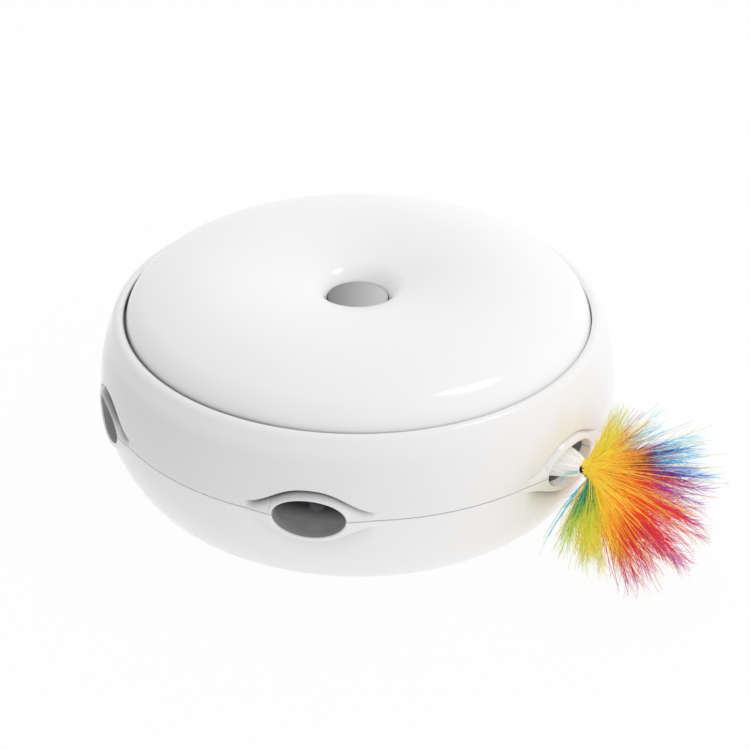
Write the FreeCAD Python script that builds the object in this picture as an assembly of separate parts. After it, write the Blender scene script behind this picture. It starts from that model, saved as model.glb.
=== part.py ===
"""Rotating feather toy for a cat, in millimetres.

A round white housing stands on rubber feet. Six eye-shaped openings go round it, and a
motor inside carries a feather round, turning it out through each opening in turn.
The origin is on the housing's axis at the height of the floor that the feet stand on.
+Z is up, and +X points out through the opening that holds the feather at rest.
"""
import FreeCAD, Part
import math
import os

Vector = FreeCAD.Vector

# Housing
housing_diameter = 173.0
housing_height = 72.0
foot_height = 1.5
lower_flank_radius = 47.3
upper_flank_radius = 57.5
base_corner_radius = 14.0
wall = 2.3
floor_thickness = 2.2

# Round stretches of an outline are cut into straight steps that leave the arc by this much
step_sag = 0.15

# A solid that cuts or joins another reaches this far past its surface
overlap = 1.0

# Top cover and the rim that it drops into
rim_width = 8.7
rim_drop = 12.4
cover_gap = 0.3
cover_wall = 2.0
cover_ledge_depth = 3.7
cover_ledge_width = 3.8
cover_ledge_thickness = 1.6
cover_edge_radius = 12.0
crown_circle_radius = 45.0
crown_outer_curve = 61.6
crown_inner_curve = 92.0
mouth_curve = 12.0
mouth_depth = 4.8
rim_edge_radius = 2.0
rim_slope = 0.4

# Openings and their raised collars
opening_count = 6
opening_width = 22.6
opening_height = 13.3
collar_length = 40.0
collar_tail = 2.0
collar_rise = 7.4
collar_fall = 8.0
collar_stand = 1.2
collar_points = 9

# Snap hooks that hold the upper shell on the lower one
hook_width = 9.0
hook_thickness = 1.5
hook_depth = 5.2
hook_barb = 0.7
catch_thickness = 1.5
snap_gap = 0.2

# Button in the middle of the cover
button_radius = 10.2
button_gap = 0.45
button_drop = 10.0
button_thickness = 1.8
button_skirt = 1.4
button_skirt_length = 8.7
button_edge = 0.9
button_travel = 0.9
stem_radius = 2.2

# Rubber feet
foot_radius = 6.0
foot_circle_radius = 58.0
foot_angles = (48.0, 125.0, -125.0, -48.0)
foot_recess = 0.8

# Three batteries side by side, their bay and its door
battery_count = 3
battery_radius = 7.25
battery_length = 49.2
battery_nub_radius = 2.7
battery_nub_length = 1.3
battery_pitch = 15.2
battery_bank_x = -34.0
bay_gap = 0.4
bay_wall = 1.6
contact_thickness = 0.5
contact_width = 10.0
contact_spring_length = 3.0
contact_leaf_width = 5.0
door_thickness = 1.4
door_overlap = 2.0
door_gap = 0.2
door_tab_length = 9.0
door_tab_width = 12.0

# Deck that carries the motor, the gears and the column
deck_clearance = 0.2
deck_thickness = 1.8
deck_radius = 69.0
post_radius = 3.6
post_circle_radius = 62.0
post_angles = (62.0, 118.0, -118.0, -62.0)

# Screws
screw_radius = 1.3
screw_head_radius = 2.5
screw_head_height = 1.4
screw_pilot_radius = 1.3
screw_length = 8.0

# Motor
motor_radius = 12.2
motor_height = 12.3
motor_boss_radius = 3.0
motor_boss_height = 1.2
motor_shaft_radius = 1.0

# Gear train, from the motor to the turntable
pressure_angle = 20.0
tooth_height = 0.75
tooth_root = 1.05
tooth_backlash = 0.16
small_module = 0.7
pinion_teeth = 7
wheel_teeth = 28
large_module = 1.5
drive_teeth = 8
ring_teeth = 48
second_gear_bearing = -32.0
first_gear_bearing = 20.0
motor_bearing = 62.0
wheel_thickness = 1.4
pinion_height = 1.9
level_gap = 0.3
axle_radius = 1.0
running_gap = 0.05
press_gap = 0.02

# Fixed column, and what turns on it
column_radius = 8.0
column_bore_radius = 5.5
column_shoulder = 0.6
column_spigot_radius = 7.0
column_flange_radius = 12.0
column_flange_thickness = 1.8
column_rise = 8.9
key_width = 2.0
key_height = 0.9
key_root = 0.5
washer_thickness = 0.5
washer_width = 2.2
bush_wall = 2.2
turntable_radius = 49.5
turntable_thickness = 1.6
ring_gear_thickness = 1.9
ring_gear_rim = 3.4

# Feather carrier: a small gear that rolls round the fixed one
carrier_module = 1.5
carrier_teeth = 8
fixed_teeth = 48
fixed_gear_thickness = 3.0
carrier_axle_radius = 1.5
carrier_axle_head = 3.0
carrier_axle_head_height = 0.8
arm_hub_radius = 4.2
arm_radius = 2.2
arm_clearance = 0.4
arm_bore_radius = 1.2
arm_reach = 31.0
arm_socket_depth = 14.0

# Feather
quill_radius = 0.8
bundle_start_radius = 3.4
bundle_end_radius = 2.1
bundle_gap = 0.6
tie_reach = 3.6
tie_radius = 1.7
tie_length = 3.2
tuft_start = 0.3
tuft_plume_length = 40.0
tuft_plume_width = 12.0
tuft_plume_thickness = 4.6
tuft_belly = 0.6
tuft_root_share = 0.3
tuft_tip_share = 0.12
tuft_spreads = (-62.0, -22.0, 22.0, 62.0)
tuft_lifts = (-38.0, 2.0, 40.0)

# Button housing, circuit board and switch on the column's top
guide_gap = 0.1
cup_wall = 2.0
cup_floor = 1.5
cup_drop = 6.5
neck_length = 3.4
neck_wall = 1.6
board_radius = 9.8
board_thickness = 1.6
switch_width = 6.0
switch_height = 3.5
plunger_radius = 1.75
plunger_height = 0.8
pad_inner_radius = 7.6
pad_outer_radius = 9.6
soft_gap = 0.3

# Flat cable from the motor and the batteries up to the circuit board
cable_width = 4.0
cable_thickness = 1.0
cable_drop = 2.2

# Levels and radii worked out from the sizes above
housing_radius = housing_diameter / 2
cover_radius = housing_radius - rim_width
rim_top_height = housing_height - rim_drop
cover_ledge_height = rim_top_height - cover_ledge_depth
button_top_height = housing_height - button_drop
base_top = foot_height + floor_thickness
deck_bottom = base_top + 2 * battery_radius + bay_gap + deck_clearance
deck_top = deck_bottom + deck_thickness
first_wheel_level = deck_top + level_gap
first_pinion_level = first_wheel_level + wheel_thickness
second_wheel_level = first_pinion_level + level_gap
second_pinion_level = second_wheel_level + wheel_thickness
ring_level = second_pinion_level + level_gap
turntable_level = ring_level + ring_gear_thickness
turntable_top = turntable_level + turntable_thickness
fixed_gear_level = turntable_top + level_gap
fixed_gear_top = fixed_gear_level + fixed_gear_thickness
arm_level = fixed_gear_top + arm_clearance + arm_radius
parting_height = arm_level
column_top_height = fixed_gear_top + column_rise
ring_radius = large_module * ring_teeth / 2
drive_distance = large_module * (ring_teeth + drive_teeth) / 2
wheel_distance = small_module * (wheel_teeth + pinion_teeth) / 2
carrier_distance = carrier_module * (fixed_teeth + carrier_teeth) / 2
opening_step = 360.0 / opening_count
bay_width = (battery_count - 1) * battery_pitch + 2 * (battery_radius + bay_gap)
bay_half_length = (battery_length + battery_nub_length) / 2 + contact_spring_length + contact_thickness
cup_inner_radius = button_radius + guide_gap
cup_outer_radius = cup_inner_radius + cup_wall
cup_top = button_top_height - cup_drop
board_level = column_top_height + cup_floor
board_top = board_level + board_thickness
tie_x = housing_radius + tie_reach
quill_start_x = carrier_distance + arm_reach - arm_socket_depth + soft_gap


def polar(radius, degrees, height=0.0):
    """A point at this distance and bearing from the housing's axis."""
    angle = math.radians(degrees)
    return Vector(radius * math.cos(angle), radius * math.sin(angle), height)


def rod(radius, low, high, centre=Vector(0, 0, 0)):
    """An upright cylinder between two heights."""
    return Part.makeCylinder(radius, high - low, Vector(centre.x, centre.y, low))


def tube(outer, inner, low, high, centre=Vector(0, 0, 0)):
    """An upright tube between two heights."""
    return rod(outer, low, high, centre).cut(rod(inner, low - overlap, high + overlap, centre))


def block(x_low, x_high, y_low, y_high, z_low, z_high):
    """A box between two corners."""
    corner = Vector(x_low, y_low, z_low)
    return Part.makeBox(x_high - x_low, y_high - y_low, z_high - z_low, corner)


def turned(solid, degrees):
    """A copy of a solid, turned about the housing's axis."""
    copy = solid.copy()
    copy.rotate(Vector(0, 0, 0), Vector(0, 0, 1), degrees)
    return copy


def ring_of(solid, count, start=0.0):
    """Copies of a solid, evenly spaced about the housing's axis."""
    return [turned(solid, start + index * 360.0 / count) for index in range(count)]


def bow(centre, radius, start, end):
    """Points along an arc about a centre, between two bearings in degrees."""
    step = 2 * math.degrees(math.acos(1 - step_sag / radius))
    count = max(1, math.ceil(abs(end - start) / step))
    bearings = [math.radians(start + (end - start) * index / count) for index in range(count + 1)]
    return [(centre[0] + radius * math.cos(angle), centre[1] + radius * math.sin(angle))
            for angle in bearings]


def revolve(points, centre=Vector(0, 0, 0)):
    """A solid turned from an outline given as radius and height, with repeated points left out."""
    corners = []
    for radius, height in points:
        spot = Vector(radius, 0, height)
        if not corners or corners[-1].distanceToPoint(spot) > 0.001:
            corners.append(spot)
    face = Part.Face(Part.makePolygon(corners + corners[:1]))
    return face.revolve(centre, Vector(0, 0, 1), 360)


def screw(low_head, centre, upwards):
    """A pan-head screw whose head's seat is at a height, with its shank upwards or down."""
    side = 1 if upwards else -1
    head = sorted((low_head, low_head - side * screw_head_height))
    shank = sorted((low_head, low_head + side * screw_length))
    head_solid = rod(screw_head_radius, head[0], head[1], centre)
    return head_solid.fuse(rod(screw_radius, shank[0], shank[1], centre))


def lower_centres():
    """Centres of the flank arc and the tangent corner arc of the lower shell."""
    flank = (housing_radius - lower_flank_radius, parting_height)
    corner_height = foot_height + base_corner_radius
    reach = lower_flank_radius - base_corner_radius
    across = math.sqrt(reach ** 2 - (parting_height - corner_height) ** 2)
    return flank, (flank[0] + across, corner_height)


def lower_radius(height):
    """The lower shell's outer radius at a height."""
    flank, corner = lower_centres()
    drop = parting_height - height
    meet = (parting_height - corner[1]) * lower_flank_radius / (lower_flank_radius - base_corner_radius)
    if drop <= meet:
        return flank[0] + math.sqrt(lower_flank_radius ** 2 - drop ** 2)
    return corner[0] + math.sqrt(base_corner_radius ** 2 - (corner[1] - height) ** 2)


def upper_radius(height):
    """The upper shell's outer radius at a height."""
    rise = height - parting_height
    return housing_radius - upper_flank_radius + math.sqrt(upper_flank_radius ** 2 - rise ** 2)


def lower_body():
    """The lower shell's outer form, filled: a flat base, a round corner and a full flank."""
    flank, corner = lower_centres()
    tilt = math.degrees(math.atan2(parting_height - corner[1], corner[0] - flank[0]))
    points = [(0, parting_height), (0, foot_height)]
    points += bow(corner, base_corner_radius, -90, -tilt)
    points += bow(flank, lower_flank_radius, -tilt, 0)
    return revolve(points)


def inner_bend():
    """The height where the inside wall of the lower shell changes its slope."""
    return (base_top + parting_height) / 2 - wall


def inner_radius(height):
    """The radius of the inside wall of the lower shell above its bend."""
    share = (height - inner_bend()) / (parting_height - inner_bend())
    low = lower_radius(inner_bend())
    return low + (lower_radius(parting_height) - low) * share - wall


def lower_hollow():
    """The space inside the lower shell, with drafted walls."""
    points = [(0, parting_height), (0, base_top), (lower_centres()[1][0], base_top)]
    points += [(inner_radius(height), height) for height in (inner_bend(), parting_height)]
    return revolve(points)


def collar(upper):
    """Half of a raised eye-shaped collar over the opening at +X, above or below the parting."""
    side = 1 if upper else -1
    swell = collar_rise if upper else collar_fall
    flank = upper_flank_radius if upper else lower_flank_radius
    half = collar_length / 2
    spots = []
    for index in range(collar_points):
        along = half * (2 * index / (collar_points - 1) - 1)
        reach = collar_tail + swell * math.cos(math.pi * along / collar_length) ** 2
        spots.append(Vector(housing_radius / 2, along, parting_height + side * reach))
    brow = Part.BSplineCurve()
    brow.interpolate(spots)
    ends = [Vector(spot.x, spot.y, parting_height) for spot in (spots[-1], spots[0])]
    corners = [spots[-1]] + ends + [spots[0]]
    lines = [Part.LineSegment(a, b).toShape() for a, b in zip(corners, corners[1:])]
    outline = Part.Face(Part.Wire([brow.toShape()] + lines))
    prism = outline.extrude(Vector(housing_radius, 0, 0))
    plan_radius = 1 / (1 / housing_radius + 2 * collar_stand / half ** 2)
    axis_x = housing_radius + collar_stand - plan_radius
    depth = collar_tail + swell + overlap
    bend = math.degrees(math.asin(depth / flank)) * side
    inner = plan_radius - collar_stand - wall
    centre = (axis_x + plan_radius - flank, parting_height)
    tip_height = parting_height + side * depth
    points = bow(centre, flank, 0, bend) + [(axis_x + inner, tip_height), (axis_x + inner, parting_height)]
    return prism.common(revolve(points, Vector(axis_x, 0, 0)))


def opening():
    """The elliptical way through the wall at +X."""
    x_in = housing_radius * 0.8
    centre = Vector(x_in, 0, parting_height)
    wide = Vector(x_in, opening_width / 2, parting_height)
    high = Vector(x_in, 0, parting_height + opening_height / 2)
    outline = Part.Face(Part.Wire(Part.Ellipse(wide, high, centre).toShape()))
    return outline.extrude(Vector(housing_radius * 0.3, 0, 0))


def snap_level():
    """The underside of the catch that each snap hook holds."""
    return parting_height - hook_depth + catch_thickness


def snap_hook():
    """One hook of the upper shell, halfway between two openings."""
    bottom = parting_height - hook_depth
    outer = inner_radius(bottom) - hook_barb - snap_gap
    top = parting_height + hook_depth / 2
    half = hook_width / 2
    stem = block(outer - hook_thickness, outer, -half, half, bottom, parting_height)
    root = block(outer - hook_thickness, upper_radius(top) - wall / 2, -half, half, parting_height, top)
    barb = block(outer, outer + hook_barb, -half, half, bottom, snap_level() - snap_gap)
    return turned(stem.multiFuse([root, barb]), opening_step / 2)


def snap_catch():
    """One catch of the lower shell, over the barb of a hook."""
    inner = inner_radius(parting_height - hook_depth) - hook_barb
    low = snap_level()
    half = hook_width / 2 + overlap
    rib = block(inner, lower_radius(low) - wall / 2, -half, half, low, low + catch_thickness)
    return turned(rib, opening_step / 2)


def bay_box(margin, low, high):
    """A box over the battery bay, grown by a margin."""
    half = bay_width / 2 + margin
    reach = bay_half_length + margin
    x_mid = battery_bank_x
    return block(x_mid - half, x_mid + half, -reach, reach, low, high)


def door_tab(margin, low, high):
    """The door's screw tab, towards the middle of the base, grown by a margin."""
    start = battery_bank_x + bay_width / 2
    half = door_tab_width / 2 + margin
    return block(start, start + door_overlap + door_tab_length + margin, -half, half, low, high)


def door_screw_spot():
    """Where the screw of the battery door stands."""
    start = battery_bank_x + bay_width / 2 + door_overlap
    return Vector(start + door_tab_length / 2, 0, 0)


def lower_shell():
    """The lower half of the housing, with its bay, posts, catches and half collars."""
    shell = lower_body().cut(lower_hollow())
    posts = [rod(post_radius, base_top - overlap, deck_bottom, polar(post_circle_radius, angle))
             for angle in post_angles]
    boss_top = foot_height + door_thickness + screw_length + overlap
    boss = rod(post_radius, base_top - overlap, boss_top, door_screw_spot())
    bay = bay_box(bay_wall, base_top - overlap, deck_bottom - deck_clearance)
    collars = ring_of(collar(False), opening_count)
    catches = ring_of(snap_catch(), opening_count)
    shell = shell.multiFuse(posts + [boss, bay] + collars + catches)
    door_top = foot_height + door_thickness
    gap = door_overlap + door_gap
    cuts = [bay_box(0, 0, deck_bottom), bay_box(gap, 0, door_top), door_tab(door_gap, 0, door_top)]
    pilot_top = door_top + screw_length + overlap / 2
    cuts.append(rod(screw_pilot_radius, door_top - overlap, pilot_top, door_screw_spot()))
    for angle in post_angles:
        spot = polar(post_circle_radius, angle)
        cuts.append(rod(screw_pilot_radius, deck_bottom - screw_length, deck_bottom + overlap, spot))
    for angle in foot_angles:
        spot = polar(foot_circle_radius, angle)
        cuts.append(rod(foot_radius + press_gap, 0, foot_height + foot_recess, spot))
    return shell.cut(cuts + ring_of(opening(), opening_count))


def upper_shell():
    """The upper half of the housing: a flank, a round rim and the cover's ledge."""
    seat = cover_radius + cover_gap
    ledge = cover_radius - cover_ledge_width
    ledge_low = cover_ledge_height - cover_ledge_thickness
    flank = (housing_radius - upper_flank_radius, parting_height)
    edge_height = rim_top_height - rim_edge_radius
    reach = upper_flank_radius - rim_edge_radius
    tilt = math.degrees(math.asin((edge_height - parting_height) / reach))
    edge = (flank[0] + reach * math.cos(math.radians(tilt)), edge_height)
    under = ledge_low - cover_ledge_width
    points = bow(flank, upper_flank_radius, 0, tilt) + bow(edge, rim_edge_radius, tilt, 90)
    points += [
        (seat, rim_top_height - rim_slope),
        (seat, cover_ledge_height),
        (ledge, cover_ledge_height),
        (ledge, ledge_low),
        (upper_radius(under) - wall, under),
        (housing_radius - wall, parting_height),
    ]
    pieces = ring_of(collar(True), opening_count) + ring_of(snap_hook(), opening_count)
    return revolve(points).multiFuse(pieces).cut(ring_of(opening(), opening_count))


def crown_height(radius):
    """The height of the cover's top between its rounded edges."""
    curve = crown_outer_curve if radius > crown_circle_radius else crown_inner_curve
    return housing_height - curve + math.sqrt(curve ** 2 - (radius - crown_circle_radius) ** 2)


def cover_corner():
    """Centre of the arc at the cover's outer edge."""
    across = cover_radius - cover_edge_radius
    reach = crown_outer_curve - cover_edge_radius
    rise = math.sqrt(reach ** 2 - (across - crown_circle_radius) ** 2)
    return across, housing_height - crown_outer_curve + rise


def mouth_corner():
    """Centre of the arc that runs from the crown down to the mouth's edge, and the arc's lean there."""
    middle = (crown_circle_radius, housing_height - crown_inner_curve)
    edge = (button_radius + button_gap, button_top_height)
    reach = math.hypot(edge[0] - middle[0], edge[1] - middle[1])
    share = crown_inner_curve - (crown_inner_curve ** 2 - reach ** 2) / (2 * mouth_curve)
    lean = math.atan2(edge[1] - middle[1], middle[0] - edge[0]) - math.acos(share / reach)
    centre = (edge[0] + mouth_curve * math.cos(lean), edge[1] - mouth_curve * math.sin(lean))
    return centre, math.degrees(lean)


def funnel_height(radius):
    """The height of the arc that runs down to the mouth."""
    centre, _ = mouth_corner()
    return centre[1] + math.sqrt(mouth_curve ** 2 - (centre[0] - radius) ** 2)


def top_cover():
    """The round cover: a ring-shaped crown that dips to the button in the middle."""
    outer = cover_corner()
    mouth, mouth_lean = mouth_corner()
    outer_crown = (crown_circle_radius, housing_height - crown_outer_curve)
    inner_crown = (crown_circle_radius, housing_height - crown_inner_curve)
    tilt = math.degrees(math.atan2(outer[1] - outer_crown[1], outer[0] - outer_crown[0]))
    lean = math.degrees(math.atan2(mouth[1] - inner_crown[1], mouth[0] - inner_crown[0]))
    mouth_radius = button_radius + button_gap
    mouth_low = button_top_height - mouth_depth
    start = max(0.0, math.degrees(math.asin((cover_ledge_height - outer[1]) / cover_edge_radius)))
    rim_radius = outer[0] + cover_edge_radius * math.cos(math.radians(start))
    points = [(rim_radius, cover_ledge_height)] + bow(outer, cover_edge_radius, start, tilt)
    points += bow(outer_crown, crown_outer_curve, tilt, 90)
    points += bow(inner_crown, crown_inner_curve, 90, lean)
    points += bow(mouth, mouth_curve, lean, 180 - mouth_lean)
    inner = mouth_radius + cover_wall
    middle = (cover_radius + crown_circle_radius) / 2
    rim = cover_radius - cover_wall
    points += [(mouth_radius, mouth_low), (inner, mouth_low)]
    points.append((inner, funnel_height(inner) - 1.5 * cover_wall))
    under = (mouth[0], crown_circle_radius, middle)
    points += [(radius, crown_height(radius) - cover_wall) for radius in under]
    points += [(rim, cover_ledge_height + 2 * cover_wall), (rim, cover_ledge_height)]
    return revolve(points)


def mode_button():
    """The round push button: a cap with an eased edge, a guiding skirt and a stem."""
    top = button_top_height
    under = top - button_thickness
    bottom = under - button_skirt_length
    inner = button_radius - button_skirt
    stem_low = board_top + switch_height + plunger_height + button_travel + guide_gap
    points = [
        (button_radius - button_edge, top),
        (button_radius, top - button_edge),
        (button_radius, bottom),
        (inner, bottom),
        (inner, under),
        (stem_radius, under),
        (stem_radius, stem_low),
        (0, stem_low),
        (0, top),
    ]
    return revolve(points)


def return_pad():
    """The soft ring that lifts the button again."""
    bottom = button_top_height - button_thickness - button_skirt_length
    return tube(pad_outer_radius, pad_inner_radius, board_top + soft_gap, bottom - soft_gap)


def rubber_feet():
    """Four round feet, let into the base."""
    high = foot_height + foot_recess
    return [rod(foot_radius, 0, high, polar(foot_circle_radius, angle)) for angle in foot_angles]


def battery_door():
    """The flat door under the batteries, with a tab for its screw."""
    top = foot_height + door_thickness
    door = bay_box(door_overlap, foot_height, top).fuse(door_tab(0, foot_height, top))
    seat = rod(screw_head_radius + door_gap, 0, foot_height + door_thickness / 2, door_screw_spot())
    hole = rod(screw_radius + door_gap, 0, top + overlap, door_screw_spot())
    return door.cut([seat, hole])


def door_screw():
    """The screw of the battery door, with its head sunk in the door."""
    return screw(foot_height + door_thickness / 2, door_screw_spot(), True)


def battery_spots():
    """The middle of each battery, as places along X."""
    first = battery_bank_x - (battery_count - 1) * battery_pitch / 2
    return [first + index * battery_pitch for index in range(battery_count)]


def batteries():
    """Three round cells lying side by side, turned end for end in turn."""
    level = base_top + bay_gap / 2 + battery_radius
    half = (battery_length + battery_nub_length) / 2
    cells = []
    for index, x in enumerate(battery_spots()):
        side = 1 if index % 2 == 0 else -1
        start = Vector(x, -side * half, level)
        can = Part.makeCylinder(battery_radius, battery_length, start, Vector(0, side, 0))
        nub_start = Vector(x, side * (battery_length - half), level)
        nub = Part.makeCylinder(battery_nub_radius, battery_nub_length, nub_start, Vector(0, side, 0))
        cells.append(can.fuse(nub))
    return cells


def battery_contacts():
    """A plate with a pressed-out tongue at each end of each cell."""
    level = base_top + bay_gap / 2 + battery_radius
    half = (battery_length + battery_nub_length) / 2
    outer = bay_half_length
    contacts = []
    for index, x in enumerate(battery_spots()):
        side = 1 if index % 2 == 0 else -1
        for end in (side, -side):
            y_pair = sorted((end * outer, end * (outer - contact_thickness)))
            plate = block(x - contact_width / 2, x + contact_width / 2, y_pair[0], y_pair[1],
                          level - contact_width / 2, level + contact_width / 2)
            near = half + running_gap
            y_pair = sorted((end * near, end * (outer - contact_thickness)))
            leaf_half = contact_leaf_width / 2
            leaf = block(x - leaf_half, x + leaf_half, y_pair[0], y_pair[1],
                         level - contact_thickness, level + contact_thickness)
            contacts.append(plate.fuse(leaf))
    return contacts


def second_gear_spot():
    """The axle of the gear that drives the turntable."""
    return polar(drive_distance, second_gear_bearing)


def first_gear_spot():
    """The axle of the gear that the motor drives."""
    return second_gear_spot() + polar(wheel_distance, first_gear_bearing)


def motor_spot():
    """The motor's axis."""
    return first_gear_spot() + polar(wheel_distance, motor_bearing)


def gear_deck():
    """The plate that carries the mechanism, screwed down on the posts."""
    deck = rod(deck_radius, deck_bottom, deck_top)
    cuts = [rod(column_spigot_radius + press_gap, 0, housing_height)]
    cuts.append(rod(motor_boss_radius + running_gap, 0, housing_height, motor_spot()))
    for angle in post_angles:
        spot = polar(post_circle_radius, angle)
        cuts.append(rod(screw_radius + running_gap, 0, housing_height, spot))
    for spot in (first_gear_spot(), second_gear_spot()):
        cuts.append(rod(axle_radius + press_gap, 0, housing_height, spot))
    return deck.cut(cuts)


def deck_screws():
    """Four screws that hold the deck on its posts."""
    return [screw(deck_top, polar(post_circle_radius, angle), False) for angle in post_angles]


def drive_motor():
    """A flat round motor with its shaft upwards, under the deck."""
    spot = motor_spot()
    can = rod(motor_radius, deck_bottom - motor_height, deck_bottom, spot)
    collar_ring = rod(motor_boss_radius, deck_bottom, deck_bottom + motor_boss_height, spot)
    return can.fuse(collar_ring).cut(rod(motor_shaft_radius + running_gap, 0, deck_top, spot))


def involute(angle):
    """The involute function of an angle in radians."""
    return math.tan(angle) - angle


def gear(teeth, module, low, high, centre, phase, bore):
    """A spur gear whose first tooth points along a bearing in degrees."""
    pitch = module * teeth / 2
    base = pitch * math.cos(math.radians(pressure_angle))
    tip = pitch + tooth_height * module
    root = pitch - tooth_root * module
    at_pitch = (math.pi * module / 2 - tooth_backlash * module) / (2 * pitch)
    at_base = at_pitch + involute(math.radians(pressure_angle))
    at_tip = at_base - involute(math.acos(base / tip))
    at_root = at_base - (involute(math.acos(base / root)) if root > base else 0)
    points = []
    for index in range(teeth):
        middle = math.radians(phase) + 2 * math.pi * index / teeth
        for radius, turn in ((root, -at_root), (tip, -at_tip), (tip, at_tip), (root, at_root)):
            x = centre.x + radius * math.cos(middle + turn)
            y = centre.y + radius * math.sin(middle + turn)
            points.append(Vector(x, y, low))
    outline = Part.Face(Part.makePolygon(points + points[:1]))
    return outline.extrude(Vector(0, 0, high - low)).cut(rod(bore, low - overlap, high + overlap, centre))


def meshed(teeth, phase, bearing, other_teeth):
    """The bearing of a tooth on a second gear that meshes with a first one.

    The first gear has a tooth at the given phase, and the second stands at the given
    bearing from it.
    """
    ahead = teeth * (phase - bearing)
    return bearing + 180 + (180 - ahead) / other_teeth


def bearing_between(start, end):
    """The bearing in degrees from one spot to another."""
    return math.degrees(math.atan2(end.y - start.y, end.x - start.x))


def second_pinion_phase():
    """A tooth of the pinion that drives the turntable's ring."""
    return meshed(ring_teeth, 0, second_gear_bearing, drive_teeth)


def first_pinion_phase():
    """A tooth of the first gear's pinion, in mesh with the second gear's wheel."""
    bearing = bearing_between(second_gear_spot(), first_gear_spot())
    return meshed(wheel_teeth, 0, bearing, pinion_teeth)


def motor_pinion_phase():
    """A tooth of the motor's pinion, in mesh with the first gear's wheel."""
    bearing = bearing_between(first_gear_spot(), motor_spot())
    return meshed(wheel_teeth, 0, bearing, pinion_teeth)


def motor_pinion():
    """The motor's small gear on its shaft."""
    spot = motor_spot()
    high = first_wheel_level + wheel_thickness
    wheel = gear(pinion_teeth, small_module, first_wheel_level, high, spot, motor_pinion_phase(),
                 motor_shaft_radius * 0.9)
    shaft = rod(motor_shaft_radius, deck_bottom - motor_height / 2, high + level_gap, spot)
    return wheel.fuse(shaft)


def first_gear():
    """A wheel with a smaller pinion above it, driven by the motor."""
    spot = first_gear_spot()
    bore = axle_radius + running_gap
    wheel = gear(wheel_teeth, small_module, first_wheel_level, first_pinion_level, spot, 0, bore)
    high = first_pinion_level + pinion_height
    pinion = gear(pinion_teeth, small_module, first_pinion_level, high, spot, first_pinion_phase(), bore)
    return wheel.fuse(pinion)


def second_gear():
    """A wheel with a pinion above it, which drives the turntable."""
    spot = second_gear_spot()
    bore = axle_radius + running_gap
    wheel = gear(wheel_teeth, small_module, second_wheel_level, second_pinion_level, spot, 0, bore)
    high = second_pinion_level + pinion_height
    pinion = gear(drive_teeth, large_module, second_pinion_level, high, spot, second_pinion_phase(), bore)
    return wheel.fuse(pinion)


def gear_axles():
    """Two fixed pins that the gears turn on."""
    first = rod(axle_radius, deck_bottom, first_pinion_level + pinion_height + level_gap, first_gear_spot())
    second = rod(axle_radius, deck_bottom, second_pinion_level + pinion_height, second_gear_spot())
    return [first, second]


def column_key(margin):
    """The key that stops the fixed gear from turning, grown by a margin."""
    reach = column_radius - column_shoulder + key_height + margin
    half = key_width / 2 + margin
    return block(column_bore_radius + key_root, reach, -half, half, fixed_gear_level, fixed_gear_top + level_gap)


def centre_column():
    """The fixed hollow column: a spigot in the deck, a flange, a running seat and a narrower neck."""
    flange_top = deck_top + column_flange_thickness
    neck = column_radius - column_shoulder
    column = revolve([
        (column_bore_radius, deck_bottom),
        (column_spigot_radius, deck_bottom),
        (column_spigot_radius, deck_top),
        (column_flange_radius, deck_top),
        (column_flange_radius, flange_top),
        (column_radius, flange_top),
        (column_radius, fixed_gear_level),
        (neck, fixed_gear_level),
        (neck, column_top_height),
        (column_bore_radius, column_top_height),
    ])
    return column.fuse(column_key(0))


def thrust_washer():
    """The washer that the turntable's bush stands on."""
    low = deck_top + column_flange_thickness
    inner = column_radius + running_gap
    return tube(inner + washer_width, inner, low, low + washer_thickness)


def turntable_bush():
    """The bush that turns on the column."""
    low = deck_top + column_flange_thickness + washer_thickness + running_gap
    inner = column_radius + running_gap
    return tube(inner + bush_wall, inner, low, turntable_top)


def turntable():
    """The round plate that carries the feather, with a ring of teeth under it."""
    hub = column_radius + running_gap + bush_wall + press_gap
    plate = tube(turntable_radius, hub, turntable_level, turntable_top)
    inner = ring_radius - ring_gear_rim
    teeth = gear(ring_teeth, large_module, ring_level, turntable_level, Vector(0, 0, 0), 0, inner)
    boss = tube(hub + bush_wall, hub, ring_level, turntable_level)
    hole = rod(carrier_axle_radius + press_gap, 0, housing_height, polar(carrier_distance, 0))
    return plate.multiFuse([teeth, boss]).cut(hole)


def sun_gear():
    """The fixed gear that the feather's gear rolls round."""
    neck = column_radius - column_shoulder + running_gap
    wheel = gear(fixed_teeth, carrier_module, fixed_gear_level, fixed_gear_top, Vector(0, 0, 0), 0, neck)
    return wheel.cut(column_key(press_gap))


def planet_axle():
    """The pin that the feather's gear turns on, fixed in the turntable."""
    spot = polar(carrier_distance, 0)
    top = arm_level + arm_hub_radius / 2 + level_gap
    pin = rod(carrier_axle_radius, turntable_level, top, spot)
    return pin.fuse(rod(carrier_axle_head, top, top + carrier_axle_head_height, spot))


def planet_gear():
    """The small gear that turns the feather as it rolls round the fixed one."""
    phase = meshed(fixed_teeth, 0, 0, carrier_teeth)
    spot = polar(carrier_distance, 0)
    bore = carrier_axle_radius + running_gap
    return gear(carrier_teeth, carrier_module, fixed_gear_level, fixed_gear_top, spot, phase, bore)


def feather_holder():
    """The arm on the small gear, with a socket for the feather's quill."""
    spot = polar(carrier_distance, 0)
    start = Vector(carrier_distance, 0, arm_level)
    hub = rod(arm_hub_radius, fixed_gear_top, arm_level + arm_hub_radius / 2, spot)
    arm = Part.makeCylinder(arm_radius, arm_reach, start, Vector(1, 0, 0))
    socket_start = start + Vector(arm_reach - arm_socket_depth, 0, 0)
    socket = Part.makeCylinder(arm_bore_radius, arm_socket_depth + overlap, socket_start, Vector(1, 0, 0))
    axle = rod(carrier_axle_radius + running_gap, 0, housing_height, spot)
    return hub.fuse(arm).cut([socket, axle])


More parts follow.
